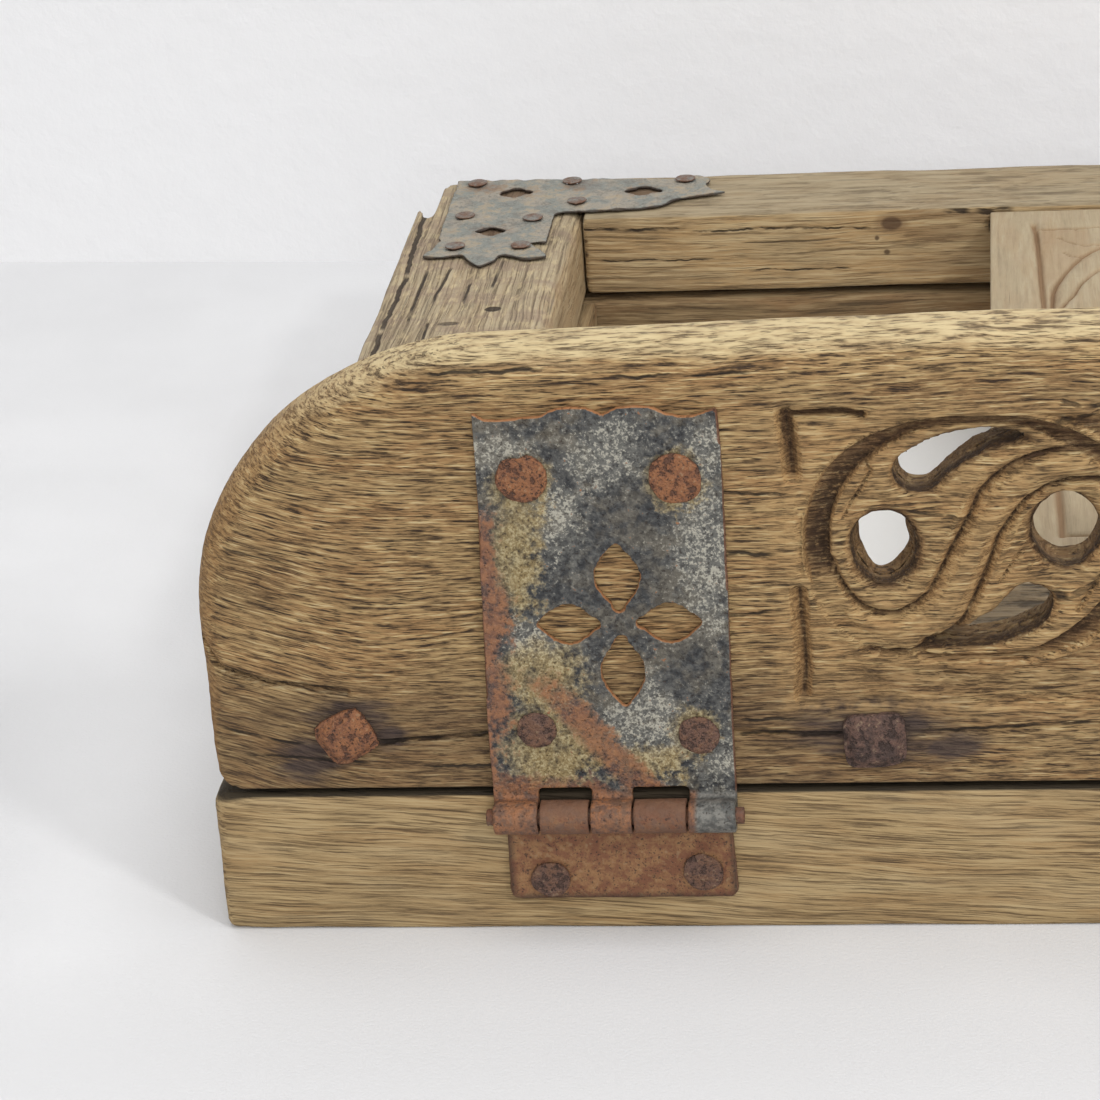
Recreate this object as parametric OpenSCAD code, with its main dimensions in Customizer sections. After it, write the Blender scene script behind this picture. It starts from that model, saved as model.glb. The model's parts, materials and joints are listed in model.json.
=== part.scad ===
// Oak donation box: a heavy base frame, a hinged lid frame with a pierced tracery front
// board, a carved lid panel with a coin slot over a boarded coin compartment, and iron fittings.

/* [Box] */
// Width over the base rails
box_w = 620; // [600:2:650]
// Depth from the front face to the back face
box_d = 431; // [400:1:480]
// Height of the base frame
base_h = 44; // [40:1:50]
// Thickness of the lid rails
lid_rail_h = 30.5; // [28:0.5:34]
// Gap between the base top and the lid's front board
parting_gap = 2.2; // [1.5:0.1:3]

/* [Rails] */
// Depth of the base front rail
base_front_w = 64; // [60:1:68]
// Depth of both back rails
back_rail_w = 46; // [42:1:50]
// Width of the base side rails
base_side_w = 74; // [70:1:78]
// Width of the lid side rails
lid_side_w = 64; // [60:1:66]
// Inset of the lid side rails from the ends of the base
lid_inset = 6; // [5:1:9]
// Length of the stub tenons
tenon_l = 30; // [24:1:34]
// Thickness of the lid frame's stub tenons
tenon_t = 16; // [14:1:17]
// Radius of the worn corners at the back of the lid
back_corner_r = 8; // [6:1:12]
// Diameter of the oak pegs
peg_d = 8; // [7:0.5:10]

/* [Front board] */
// Thickness of the front board
board_t = 24; // [22:1:26]
// Height of the front board at its ends
board_h = 129.8; // [126:0.2:134]
// Rise of the top edge towards the middle
board_crown = 2.5; // [1:0.5:5]
// Width of each big round top corner
board_corner_w = 88; // [80:1:94]
// Height of each big round top corner
board_corner_h = 78; // [70:1:84]
// Depth of the worn bottom corners
board_chamfer = 4; // [2:0.5:6]

/* [Tracery] */
// Half width of each oval
oval_a = 46.5; // [44:0.5:48]
// Half height of each oval
oval_b = 36; // [34:0.5:37]
// Height of the ovals' centres above the board's bottom edge
oval_z = 72.1; // [70:0.1:74]
// Width of the cut rim round each oval
rim_w = 5; // [3:0.5:6]
// Depth of the sunk spandrels and the rim
sink_d = 3; // [2:0.5:4]
// Height of the sunk field
field_h = 84.5; // [80:0.5:88]
// Margin of the sunk field beyond the outer ovals
field_margin = 4; // [2:0.5:5]
// Width of the two long curved cuts in each side oval
s_cut_w = 4; // [3:0.5:5]

/* [Lid panel and coin box] */
// Width of the lid panel
panel_w = 179; // [172:1:184]
// Thickness of the lid panel
panel_t = 12; // [10:1:14]
// Drop of the panel below the top of the lid rails
panel_drop = 2; // [1:0.5:3]
// Length of the coin slot
slot_l = 46; // [36:1:60]
// Width of the coin slot
slot_w = 6; // [5:0.5:8]
// Thickness of the coin box walls
wall_t = 12; // [10:1:14]
// Thickness of the coin box bottom
bottom_t = 10; // [8:1:12]

/* [Hinges] */
// Width of each hinge
hinge_w = 68.6; // [64:0.2:72]
// Distance of each hinge's middle from the end of the base
hinge_in = 115.5; // [112:0.5:120]
// Thickness of the leaves
leaf_t = 2; // [1.5:0.1:2.5]
// Height of the hinge axis above the floor
axis_z = 39; // [37:0.5:39]
// Height of the upper leaf above the hinge axis
upper_leaf_h = 119; // [112:1:122]
// Length of the lower leaf below the hinge axis
lower_leaf_h = 29; // [28:0.5:31]
// Outer diameter of the knuckles
knuckle_d = 10; // [9:0.5:10]
// Diameter of the hinge pins
pin_d = 5; // [4:0.5:5.5]
// Length of a pin end past the outer knuckles
pin_end = 2; // [1:0.5:3]

/* [Corner straps] */
// Length of the strap's arm along the back rail
strap_back_l = 105; // [98:1:112]
// Length of the strap's arm along the side rail
strap_side_l = 92; // [88:1:100]
// Width of the strap's arms
strap_w = 42; // [40:1:43]
// Thickness of the straps
strap_t = 2; // [1.5:0.1:2.5]

/* [Nails] */
// Side of the big square nail heads
big_head_w = 17; // [14:0.5:18]
// Height of the big square nail heads
big_head_h = 5; // [4:0.5:6]
// Side of the big nails' square shanks
big_shank_w = 6; // [5:0.5:7]
// Length of the big nails' shanks
big_shank_l = 58; // [50:1:62]
// Height of the big nails above the front board's bottom edge
big_nail_z = 13.8; // [11:0.2:16]
// Diameter of the nails that hold the iron
shank_d = 4; // [3:0.5:4]
// Length of those nails' shanks
shank_l = 22; // [18:1:26]

/* [Lock] */
// Width of the padlock eyes
eye_w = 36; // [32:1:44]
// Thickness of the padlock eyes
eye_t = 4; // [3:0.5:4.5]
// Reach of the padlock eyes behind the back rails
eye_reach = 28; // [26:1:34]
// Diameter of the hole for the padlock's shackle
eye_hole_d = 10; // [8:0.5:12]

/* [Fits] */
// Gap round tenons, tongues and boards in their housings
joint_gap = 0.15; // [0.1:0.05:0.3]
// Gap between the iron and the wood under it
face_gap = 0.05; // [0.02:0.01:0.1]
// Radial gap round pins, nail shanks and pegs
pin_gap = 0.05; // [0.03:0.01:0.08]
// Gap between neighbouring knuckles
knuckle_gap = 0.3; // [0.2:0.05:0.5]
// Gap between the closed lid's side rails and the base
seat_gap = 0.3; // [0.2:0.05:0.4]

/* [Hidden] */

oak_front = [0.56, 0.46, 0.32];
oak_rail = [0.68, 0.62, 0.51];
oak_inner = [0.58, 0.48, 0.34];
oak_panel = [0.71, 0.65, 0.53];
iron_leaf = [0.4, 0.4, 0.38];
iron_rust = [0.48, 0.36, 0.29];
iron_strap = [0.58, 0.56, 0.52];

round_fn = 48;
small_fn = 28;
over = 1;

half_w = box_w / 2;
half_panel = panel_w / 2;
lid_half_w = half_w - lid_inset;
hinge_x = half_w - hinge_in;
lid_z = base_h + parting_gap;
lid_bottom = lid_z + 0.3;
lid_top = lid_bottom + lid_rail_h;
side_bottom = base_h + seat_gap;
front_inner = base_front_w;
back_inner = box_d - back_rail_w;
bay_l = back_inner - front_inner;
lid_front_w = base_front_w - board_t;
panel_top = lid_top - panel_drop;
panel_bottom = panel_top - panel_t;
tongue_l = 10;
tongue_t = 6;
tongue_z = panel_bottom + (panel_t - tongue_t) / 2;
wall_inset = 6;
wall_house = 8;
wall_top = panel_bottom - 1.5;
wall_back_clear = 2;
coin_wall_x = half_panel - wall_inset;
coin_inner_x = coin_wall_x - wall_t;
bottom_z = 3;
bottom_house = 5;

axis_out = knuckle_d / 2 + 0.3;
knuckle_parts = [13.2, 14.2, 12.2, 15.2, 13.8];
knuckle_sum = 68.6;
notch_h = 2.4;
lug_depth = 3;
eye_gap = 3;
eye_round = 12;
eye_hole_y = box_d + eye_reach - eye_round;

front_reach = axis_out + knuckle_d / 2;
back_reach = box_d + eye_reach;
mid_d = (back_reach - front_reach) / 2;

// Nail places on a hinge: across from its middle, up from the hinge axis, head diameter
upper_nails = [[-19.2, 102.3, 14.4], [22.1, 101.4, 15], [-20.5, 26, 11.6], [24.5, 23.8, 12]];
lower_nails = [[-19.6, -21.5, 11.6], [23.7, -19.5, 12]];
big_nail_x = [-half_w + 41, -121.5, 0, 121.5, half_w - 41];
big_nail_turn = [38, 4, 12, -6, 30];

// Nail places on a strap: along the back arm from the corner, forward along the side arm
strap_nails = [[8.7, 6], [44.8, 6.5], [88, 8], [48.9, 29.3], [8.4, 42.4], [34.3, 46.8], [8.8, 75], [33, 76]];
strap_diamonds = [[24.4, 16, 7.9], [19.7, 58, 6.8], [72.8, 18, 7.9]];
strap_head_d = 8;

function arc(c, r, from, to, n) =
    [for (i = [0:n]) let (a = from + (to - from) * i / n) c + r * [cos(a), sin(a)]];
function oval(c, a, b, n) =
    [for (i = [0:n - 1]) let (t = 360 * i / n) c + [a * cos(t), b * sin(t)]];
function turned(p, a) =
    [for (q = p) [q[0] * cos(a) - q[1] * sin(a), q[0] * sin(a) + q[1] * cos(a)]];
function moved(p, c) = [for (q = p) q + c];
function bezier(a, b, c, t) = a * (1 - t) * (1 - t) + b * 2 * t * (1 - t) + c * t * t;
function unit(v) = v / norm(v);
function across(a, b) = let (u = unit(b - a)) [-u[1], u[0]];

// A curved teardrop: a round head at a, a bent tail through b that ends in a point at c
function mouchette(a, b, c, r, n) = let (
    spine = [for (i = [0:n]) bezier(a, b, c, i / n)],
    side = [for (i = [0:n]) let (t = i / n, u = across(spine[max(i - 1, 0)], spine[min(i + 1, n)]))
        [u * r * pow(1 - t, 0.7), spine[i]]],
    out = atan2(side[0][0][1], side[0][0][0])
) concat(
    arc(a, r, out, out + 180, 10),
    [for (i = [1:n - 1]) side[i][1] - side[i][0]],
    [c],
    [for (i = [n - 1:-1:1]) side[i][1] + side[i][0]]
);

// A leaf with a point at each end, long axis up, its foot at the origin
function petal(len, wid, n) = let (
    r = (len * len / 4 + wid * wid / 4) / wid, a = asin(len / 2 / r), c = r - wid / 2
) concat(
    arc([-c, len / 2], r, -a, a, n),
    arc([c, len / 2], r, 180 - a, 180 + a, n)
);

// The same with a blunt narrow neck at its foot
neck_w = 2.2;
function leaf_petal(len, wid, n) = let (
    side = [for (i = [0:n - 1]) let (t = i / n)
        [max(wid / 2 * pow(sin(180 * t), 1.1), t < 0.2 ? neck_w / 2 : 0), len * t]]
) concat(side, [[0, len]], [for (i = [n - 1:-1:0]) [-side[i][0], side[i][1]]]);

// The band of width w along a line of points
function band(p, w) = let (n = len(p) - 1) concat(
    [for (i = [0:n]) p[i] + across(p[max(i - 1, 0)], p[min(i + 1, n)]) * w / 2],
    [for (i = [n:-1:0]) p[i] - across(p[max(i - 1, 0)], p[min(i + 1, n)]) * w / 2]
);

module place() translate([0, -mid_d, 0]) children();
module block(x0, x1, y0, y1, z0, z1) translate([x0, y0, z0]) cube([x1 - x0, y1 - y0, z1 - z0]);
module upright(y, t) translate([0, y + t, 0]) rotate([90, 0, 0]) linear_extrude(t) children();
module mirrored(s) mirror([s < 0 ? 1 : 0, 0, 0]) children();

// ---- Base frame ----

base_mid_x = half_w - base_side_w / 2;
base_tenon_w = 36;
module side_tenon(y0, y1, grow)
    block(base_mid_x - base_tenon_w / 2 - grow, base_mid_x + base_tenon_w / 2 + grow, y0, y1,
        base_h / 4 - grow, base_h * 3 / 4 + grow);

module base_front_rail() color(oak_rail) place() difference() {
    block(-half_w, half_w, 0, front_inner, 0, base_h);
    for (s = [-1, 1]) mirrored(s) {
        side_tenon(front_inner - tenon_l - joint_gap, front_inner + over, joint_gap);
        peg_hole(base_mid_x, front_inner - tenon_l / 2, -over);
        wall_housing(front_inner - wall_house, front_inner + over);
        for (n = lower_nails) nail_hole(hinge_x - n[0], axis_z + n[1]);
    }
}

module base_back_rail() color(oak_rail) place() difference() {
    block(-half_w, half_w, back_inner, box_d, 0, base_h);
    for (s = [-1, 1]) mirrored(s) {
        side_tenon(back_inner - over, back_inner + tenon_l + joint_gap, joint_gap);
        peg_hole(base_mid_x, back_inner + tenon_l / 2, -over);
        wall_housing(back_inner - over, back_inner + wall_house);
    }
    eye_nail_holes(base_eye_z());
}

module base_side_rail() color(oak_rail) place() difference() {
    union() {
        block(half_w - base_side_w, half_w, front_inner + joint_gap, back_inner - joint_gap, 0, base_h);
        side_tenon(front_inner - tenon_l, back_inner + tenon_l, 0);
    }
    peg_hole(base_mid_x, front_inner - tenon_l / 2, -over);
    peg_hole(base_mid_x, back_inner + tenon_l / 2, -over);
}
module base_left_rail() mirror([1, 0, 0]) base_side_rail();
module base_right_rail() base_side_rail();

peg_l = 34;
module peg_hole(x, y, z) translate([x, y, z])
    cylinder(d = peg_d + 2 * pin_gap, h = peg_l + joint_gap - z, $fn = round_fn);
module base_pegs() color(oak_inner) place() for (s = [-1, 1]) mirrored(s)
    for (y = [front_inner - tenon_l / 2, back_inner + tenon_l / 2])
        translate([base_mid_x, y, 0]) cylinder(d = peg_d, h = peg_l, $fn = round_fn);

// ---- Coin box ----

module wall_housing(y0, y1)
    block(coin_inner_x - joint_gap, coin_wall_x + joint_gap, y0, y1, -over, base_h + over);

module coin_wall() color(oak_inner) place() difference() {
    union() {
        block(coin_inner_x, coin_wall_x, front_inner - wall_house + joint_gap,
            back_inner + wall_house - joint_gap, 0, base_h);
        block(coin_inner_x, coin_wall_x, front_inner + wall_back_clear,
            back_inner - wall_back_clear, base_h - over, wall_top);
    }
    block(coin_inner_x - over, coin_inner_x + bottom_house + joint_gap,
        front_inner - wall_house - over, back_inner + wall_house + over,
        bottom_z - joint_gap, bottom_z + bottom_t + joint_gap);
}
module coin_box_left_wall() mirror([1, 0, 0]) coin_wall();
module coin_box_right_wall() coin_wall();

module coin_box_bottom() color(oak_inner) place() block(
    -coin_inner_x - bottom_house, coin_inner_x + bottom_house,
    front_inner + joint_gap, back_inner - joint_gap, bottom_z, bottom_z + bottom_t);

// ---- Lid frame ----

lid_tenon_w = 26;
lid_mid_z = (lid_bottom + lid_top) / 2;
lid_front_mid = board_t + lid_front_w / 2;
lid_back_mid = box_d - back_rail_w / 2;

module lid_tenon(y, x0, x1, grow) block(x0, x1, y - lid_tenon_w / 2 - grow, y + lid_tenon_w / 2 + grow,
    lid_mid_z - tenon_t / 2 - grow, lid_mid_z + tenon_t / 2 + grow);

lid_inner_x = lid_half_w - lid_side_w;
lid_peg_l = 24;
module lid_peg_hole(y) translate([lid_inner_x + tenon_l / 2, y, side_bottom - over])
    cylinder(d = peg_d + 2 * pin_gap, h = lid_peg_l + joint_gap + over, $fn = round_fn);

module lid_cross_rail(y0, y1, mid) difference() {
    union() {
        block(-lid_inner_x + joint_gap, lid_inner_x - joint_gap, y0, y1, lid_bottom, lid_top);
        lid_tenon(mid, -lid_inner_x - tenon_l, lid_inner_x + tenon_l, 0);
    }
    for (s = [-1, 1]) mirrored(s) lid_peg_hole(mid);
}

module lid_front_rail() color(oak_rail) place() difference() {
    lid_cross_rail(board_t + joint_gap, front_inner, lid_front_mid);
    panel_groove(front_inner - tongue_l - joint_gap, front_inner + over);
    for (i = [0:4]) big_shank(i, pin_gap);
}

module lid_back_rail() color(oak_rail) place() difference() {
    lid_cross_rail(back_inner, box_d, lid_back_mid);
    panel_groove(back_inner - over, back_inner + tongue_l + joint_gap);
    eye_nail_holes(lid_eye_z());
    for (s = [-1, 1]) mirrored(s) strap_nail_holes();
}

module panel_groove(y0, y1) block(-half_panel - joint_gap, half_panel + joint_gap, y0, y1,
    tongue_z - joint_gap, tongue_z + tongue_t + joint_gap);

// Side rail: seen from above it has one worn round corner at the back
module lid_side_rail(big) difference() {
    translate([0, 0, side_bottom]) linear_extrude(lid_top - side_bottom) polygon(concat(
        [[lid_inner_x, board_t + joint_gap], [lid_half_w, board_t + joint_gap]],
        arc([lid_half_w - back_corner_r, box_d - back_corner_r], back_corner_r, 0, 90, 8),
        [[lid_inner_x, box_d]]));
    for (y = [lid_front_mid, lid_back_mid]) {
        lid_tenon(y, lid_inner_x - over, lid_inner_x + tenon_l + joint_gap, joint_gap);
        lid_peg_hole(y);
    }
    mirrored(big == 0 ? -1 : 1) big_shank(big, pin_gap);
    strap_nail_holes();
}

// A long shake has split a sliver off the left rail's outer side. Its tip ends before the back corner.
sliver_w = 5.6;
sliver_tip = box_d - 30;
crack_w = 1.6;
crack_deep = 18;
module lid_left_rail() color(oak_rail) place() {
    difference() {
        mirror([1, 0, 0]) lid_side_rail(0);
        translate([-lid_half_w, 0, 0]) {
            translate([0, 0, side_bottom - over]) linear_extrude(lid_top - side_bottom + 2 * over) polygon([
                [-over, box_d + over], [-over, sliver_tip], [sliver_w / 2, sliver_tip], [sliver_w, sliver_tip - 20],
                [sliver_w + crack_w, sliver_tip - 14], [sliver_w + crack_w, box_d - back_corner_r],
                [sliver_w + crack_w + 2.4, box_d - 3], [sliver_w + crack_w + back_corner_r, box_d + over]]);
            translate([0, 0, lid_top - crack_deep]) linear_extrude(crack_deep + over) polygon([
                [sliver_w, sliver_tip - 18], [sliver_w - 0.8, box_d - 110], [sliver_w + 0.6, board_t + 160],
                [sliver_w - 1.4, board_t + 40], [sliver_w + 0.8, board_t + 100], [sliver_w + crack_w, board_t + 200],
                [sliver_w + crack_w - 0.6, box_d - 120], [sliver_w + crack_w, sliver_tip - 16]]);
        }
    }
}
module lid_right_rail() color(oak_rail) place() lid_side_rail(4);

module lid_pegs() color(oak_inner) place() for (s = [-1, 1]) mirrored(s)
    for (y = [lid_front_mid, lid_back_mid])
        translate([lid_inner_x + tenon_l / 2, y, side_bottom])
            cylinder(d = peg_d, h = lid_peg_l, $fn = round_fn);

// ---- Front board ----

board_half_w = half_w - 1;
oval_x = 2 * oval_a;
field_half_w = oval_x + oval_a + field_margin;

function crown(x) = board_crown * (1 - pow(x / (board_half_w - board_corner_w), 2));
crown_steps = 12;
crown_half = board_half_w - board_corner_w;
function board_outline() = concat(
    [[-board_half_w + 2 * board_chamfer, 0], [board_half_w - 2 * board_chamfer, 0],
        [board_half_w - board_chamfer / 2, board_chamfer]],
    [for (i = [0:16]) let (a = 90 * i / 16) [
        crown_half + board_corner_w * cos(a), board_h - board_corner_h + board_corner_h * sin(a)]],
    [for (i = [1:crown_steps - 1]) let (x = crown_half * (1 - 2 * i / crown_steps)) [x, board_h + crown(x)]],
    [for (i = [16:-1:0]) let (a = 90 * i / 16) [
        -crown_half - board_corner_w * cos(a), board_h - board_corner_h + board_corner_h * sin(a)]],
    [[-board_half_w + board_chamfer / 2, board_chamfer]]
);

// One side oval's openings and cuts, about the oval's middle
drop_from = [-14.3, 20.3];
drop_bend = [-3, 31];
drop_to = [15.2, 29.7];
drop_r = 6.6;
eye_at = [-24.5, -2.1];
eye_r = [9.1, 11];
s_cut_bends = [[39.8, 0], [39, 17.5], [23.4, 18.2], [8, 17.5], [3, -1.9], [-2.5, -29], [-28, -31.4]];
function s_cut() = [for (k = [0:2:4], i = [0:7 + (k == 4 ? 1 : 0)])
    bezier(s_cut_bends[k], s_cut_bends[k + 1], s_cut_bends[k + 2], i / 8)];

module side_oval_openings() for (a = [0, 180]) {
    polygon(turned(mouchette(drop_from, drop_bend, drop_to, drop_r, 8), a));
    polygon(turned(oval(eye_at, eye_r[0], eye_r[1], 28), a));
}
module side_oval_cuts() intersection() {
    polygon(oval([0, 0], oval_a - rim_w, oval_b - rim_w, 60));
    for (a = [0, 180]) rotate(a) polygon(band(s_cut(), s_cut_w));
}
// Half the cut between neighbouring ovals where they touch
oval_gap = 0.01;
foil_l = 22;
foil_w = 12;
foil_in = 5;
dot_at = [19, 15];
dot_r = 3.4;
module middle_oval_openings() {
    for (a = [0, 90, 180, 270]) polygon(turned(moved(petal(foil_l, foil_w, 8), [0, foil_in]), a));
    for (x = [-1, 1], y = [-1, 1]) translate([dot_at[0] * x, dot_at[1] * y]) circle(dot_r, $fn = 24);
}

module tracery_openings() translate([0, oval_z]) {
    translate([-oval_x, 0]) side_oval_openings();
    translate([oval_x, 0]) mirror([1, 0]) side_oval_openings();
    middle_oval_openings();
}
module tracery_sinks() translate([0, oval_z]) {
    difference() {
        translate([-field_half_w, -field_h / 2 - 6]) square([2 * field_half_w, field_h]);
        for (i = [-1, 0, 1]) translate([i * oval_x, 0]) polygon(oval([0, 0], oval_a - oval_gap, oval_b, 60));
    }
    for (i = [-1, 0, 1]) translate([i * oval_x, 0]) difference() {
        polygon(oval([0, 0], oval_a - 1.5, oval_b - 1.5, 60));
        polygon(oval([0, 0], oval_a - rim_w - 1.5, oval_b - rim_w - 1.5, 60));
    }
    translate([-oval_x, 0]) side_oval_cuts();
    translate([oval_x, 0]) mirror([1, 0]) side_oval_cuts();
}

module tracery_front_board() color(oak_front) place() difference() {
    translate([0, 0, lid_z]) upright(0, board_t) polygon(board_outline());
    translate([0, 0, lid_z]) upright(-over, board_t + 2 * over) tracery_openings();
    translate([0, 0, lid_z]) upright(-over, sink_d + over) tracery_sinks();
    for (i = [0:4]) big_shank(i, pin_gap);
    for (s = [-1, 1]) mirrored(s) for (n = upper_nails) nail_hole(hinge_x - n[0], axis_z + n[1]);
}

// ---- Lid panel ----

// The panel's carved field has a round arch at its back end, with sunk spandrels
panel_cut = 2.5;
line_w = 2;
stile_w = 16.5;
arch_r = 68;
arch_y = back_inner - 90;
arch_inner_r = 66;
arch_inner_y = back_inner - 105;
field_back = back_inner - 18;
field_front = front_inner + 36;
panel_mid = (front_inner + back_inner) / 2;
module arch_field(r, y, foot) polygon(concat(arc([0, y], r, 0, 180, 36), [[-r, foot], [r, foot]]));
module panel_cuts() {
    difference() {
        translate([-half_panel + stile_w, arch_y - 30]) square([panel_w - 2 * stile_w, field_back - arch_y + 30]);
        arch_field(arch_r, arch_y, arch_y - 31);
    }
    difference() {
        arch_field(arch_inner_r, arch_inner_y, field_front);
        arch_field(arch_inner_r - line_w, arch_inner_y, field_front + line_w);
    }
}
module carved_lid_panel() color(oak_panel) place() difference() {
    union() {
        block(-half_panel, half_panel, front_inner + joint_gap, back_inner - joint_gap, panel_bottom, panel_top);
        block(-half_panel, half_panel, front_inner - tongue_l, back_inner + tongue_l, tongue_z, tongue_z + tongue_t);
    }
    block(-slot_l / 2, slot_l / 2, panel_mid - slot_w / 2, panel_mid + slot_w / 2,
        panel_bottom - over, panel_top + over);
    translate([0, 0, panel_top - panel_cut]) linear_extrude(panel_cut + over) panel_cuts();
}

// ---- Nails ----

module nail_hole(x, z) translate([x, 0, z]) rotate([90, 0, 0])
    translate([0, 0, -shank_l - joint_gap])
        cylinder(d = shank_d + 2 * pin_gap, h = shank_l + 2 * over + joint_gap, $fn = small_fn);

// A forged nail along -z: a domed head on the plane z = 0 and a straight shank under it
module nail(head_d, length) {
    dome = head_d * 0.24;
    rotate_extrude($fn = small_fn) polygon(concat([[0, 0], [head_d / 2, 0], [head_d / 2, head_d * 0.05]],
        [for (i = [1:5]) let (a = 90 * i / 5) [head_d / 2 * cos(a), head_d * 0.05 + dome * sin(a)]]));
    translate([0, 0, -length]) cylinder(d = shank_d, h = length + dome / 2, $fn = small_fn);
}
module front_nails(list) for (n = list)
    translate([hinge_x - n[0], -leaf_t - 2 * face_gap, axis_z + n[1]]) rotate([90, 0, 0]) nail(n[2], shank_l);

module big_shank(i, grow) translate([big_nail_x[i], -over, lid_z + big_nail_z]) rotate([-90, 0, 0])
    translate([-big_shank_w / 2 - grow, -big_shank_w / 2 - grow, 0])
        cube([big_shank_w + 2 * grow, big_shank_w + 2 * grow, big_shank_l + over + 4 * grow]);

module front_board_nails() color(iron_rust) place() for (i = [0:4])
    translate([big_nail_x[i], -face_gap, lid_z + big_nail_z]) rotate([90, 0, 0]) {
        rotate(big_nail_turn[i]) {
            translate([-big_head_w / 2, -big_head_w / 2, 0]) cube([big_head_w, big_head_w, big_head_h * 0.4]);
            translate([0, 0, big_head_h * 0.4]) linear_extrude(big_head_h * 0.6, scale = 0.55)
                square(big_head_w, center = true);
        }
        translate([-big_shank_w / 2, -big_shank_w / 2, -big_shank_l])
            cube([big_shank_w, big_shank_w, big_shank_l + over]);
    }

// ---- Hinges ----

function knuckle_w(i) = knuckle_parts[i] * hinge_w / knuckle_sum;
function knuckle_from(i) = i == 0 ? 0 : knuckle_from(i - 1) + knuckle_w(i - 1);

module knuckles(which) for (i = which) translate([-hinge_w / 2 + knuckle_from(i) + knuckle_gap / 2, 0, 0])
    rotate([0, 90, 0]) cylinder(d = knuckle_d, h = knuckle_w(i) - knuckle_gap, $fn = round_fn);

module hinge_bore() translate([-hinge_w, 0, 0]) rotate([0, 90, 0])
    cylinder(d = pin_d + 2 * pin_gap, h = 2 * hinge_w, $fn = round_fn);

// Seen from the front: the left hinge, its middle on the hinge axis at the origin
horn_h = 2.4;
hump_x = 8.5;
hump_h = 3.4;
v_x = 3.5;
v_h = 2;
leaf_narrowing = 1.6;
function upper_leaf_outline() = let (w = hinge_w / 2, h = upper_leaf_h, t = hinge_w / 2 - leaf_narrowing) concat(
    [[-w, 0], [w, 0], [w, h * 0.3], [t, h + horn_h], [t - 4, h + 0.3], [t - 8, h]],
    [for (i = [0:4]) let (a = 15 + 145 * i / 4) [hump_x + v_x + hump_x * cos(a), h + hump_h * sin(a)]],
    [[v_x, h - v_h]],
    [for (i = [0:4]) let (a = 20 + 145 * i / 4) [v_x - hump_x + hump_x * cos(a), h + hump_h * sin(a)]],
    [[-t + 8, h], [-t + 4, h + 0.3], [-t, h + horn_h], [-w, h * 0.3]]
);
// Each petal: direction, distance from the middle, length, width
foil_z = 58;
foil_x = 4.6;
petals = [[0, 3.7, 20.7, 12.2], [90, 5.4, 17.8, 11.7], [180, 3.6, 22.2, 11.8], [270, 4.7, 18.1, 11.7]];

module leaf_slab(from, thick) translate([0, from, 0]) rotate([90, 0, 0]) linear_extrude(thick) children();

module upper_leaf() difference() {
    union() {
        leaf_slab(axis_out - face_gap, leaf_t) difference() {
            polygon(upper_leaf_outline());
            for (p = petals) translate([foil_x, foil_z])
                polygon(turned(moved(leaf_petal(p[2], p[3], 10), [0, p[1]]), p[0]));
            for (n = upper_nails) translate([n[0], n[1]]) circle(d = shank_d + 4 * pin_gap, $fn = small_fn);
            for (i = [1, 3]) translate([-hinge_w / 2 + knuckle_from(i) - knuckle_gap / 2, -over])
                square([knuckle_w(i) + knuckle_gap, knuckle_d / 2 + notch_h + over]);
        }
        knuckles([0, 2, 4]);
    }
    hinge_bore();
}

module lower_leaf() difference() {
    union() {
        leaf_slab(axis_out - face_gap, leaf_t) difference() {
            polygon(concat([[hinge_w / 2 - 2, 0], [-hinge_w / 2 + 3, 0]],
                arc([-hinge_w / 2 + 6, -lower_leaf_h + 4], 3.6, 180, 270, 5),
                arc([hinge_w / 2 - 4, -lower_leaf_h + 3.6], 3, 270, 360, 5)));
            for (n = lower_nails) translate([n[0], n[1]]) circle(d = shank_d + 4 * pin_gap, $fn = small_fn);
            for (i = [0, 2, 4])
                translate([-hinge_w / 2 + knuckle_from(i) - knuckle_gap / 2 - (i == 0 ? 1 : 0), -knuckle_d / 2 - 1])
                    square([knuckle_w(i) + knuckle_gap + (i == 2 ? 0 : 1), knuckle_d / 2 + 1 + over]);
        }
        knuckles([1, 3]);
    }
    hinge_bore();
}

module left_hinge_place() place() translate([-hinge_x, -axis_out, axis_z]) children();
module left_hinge_upper_leaf() color(iron_leaf) left_hinge_place() upper_leaf();
module right_hinge_upper_leaf() mirror([1, 0, 0]) left_hinge_upper_leaf();
module left_hinge_lower_leaf() color(iron_rust) left_hinge_place() lower_leaf();
module right_hinge_lower_leaf() mirror([1, 0, 0]) left_hinge_lower_leaf();

module left_hinge_pin() color(iron_rust) left_hinge_place() rotate([0, 90, 0])
    translate([0, 0, -hinge_w / 2 - pin_end]) cylinder(d = pin_d, h = hinge_w + 2 * pin_end, $fn = round_fn);
module right_hinge_pin() mirror([1, 0, 0]) left_hinge_pin();

module right_hinge_upper_nails() color(iron_rust) place() front_nails(upper_nails);
module left_hinge_upper_nails() mirror([1, 0, 0]) right_hinge_upper_nails();
module right_hinge_lower_nails() color(iron_rust) place() front_nails(lower_nails);
module left_hinge_lower_nails() mirror([1, 0, 0]) right_hinge_lower_nails();

// ---- Corner straps ----

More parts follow.
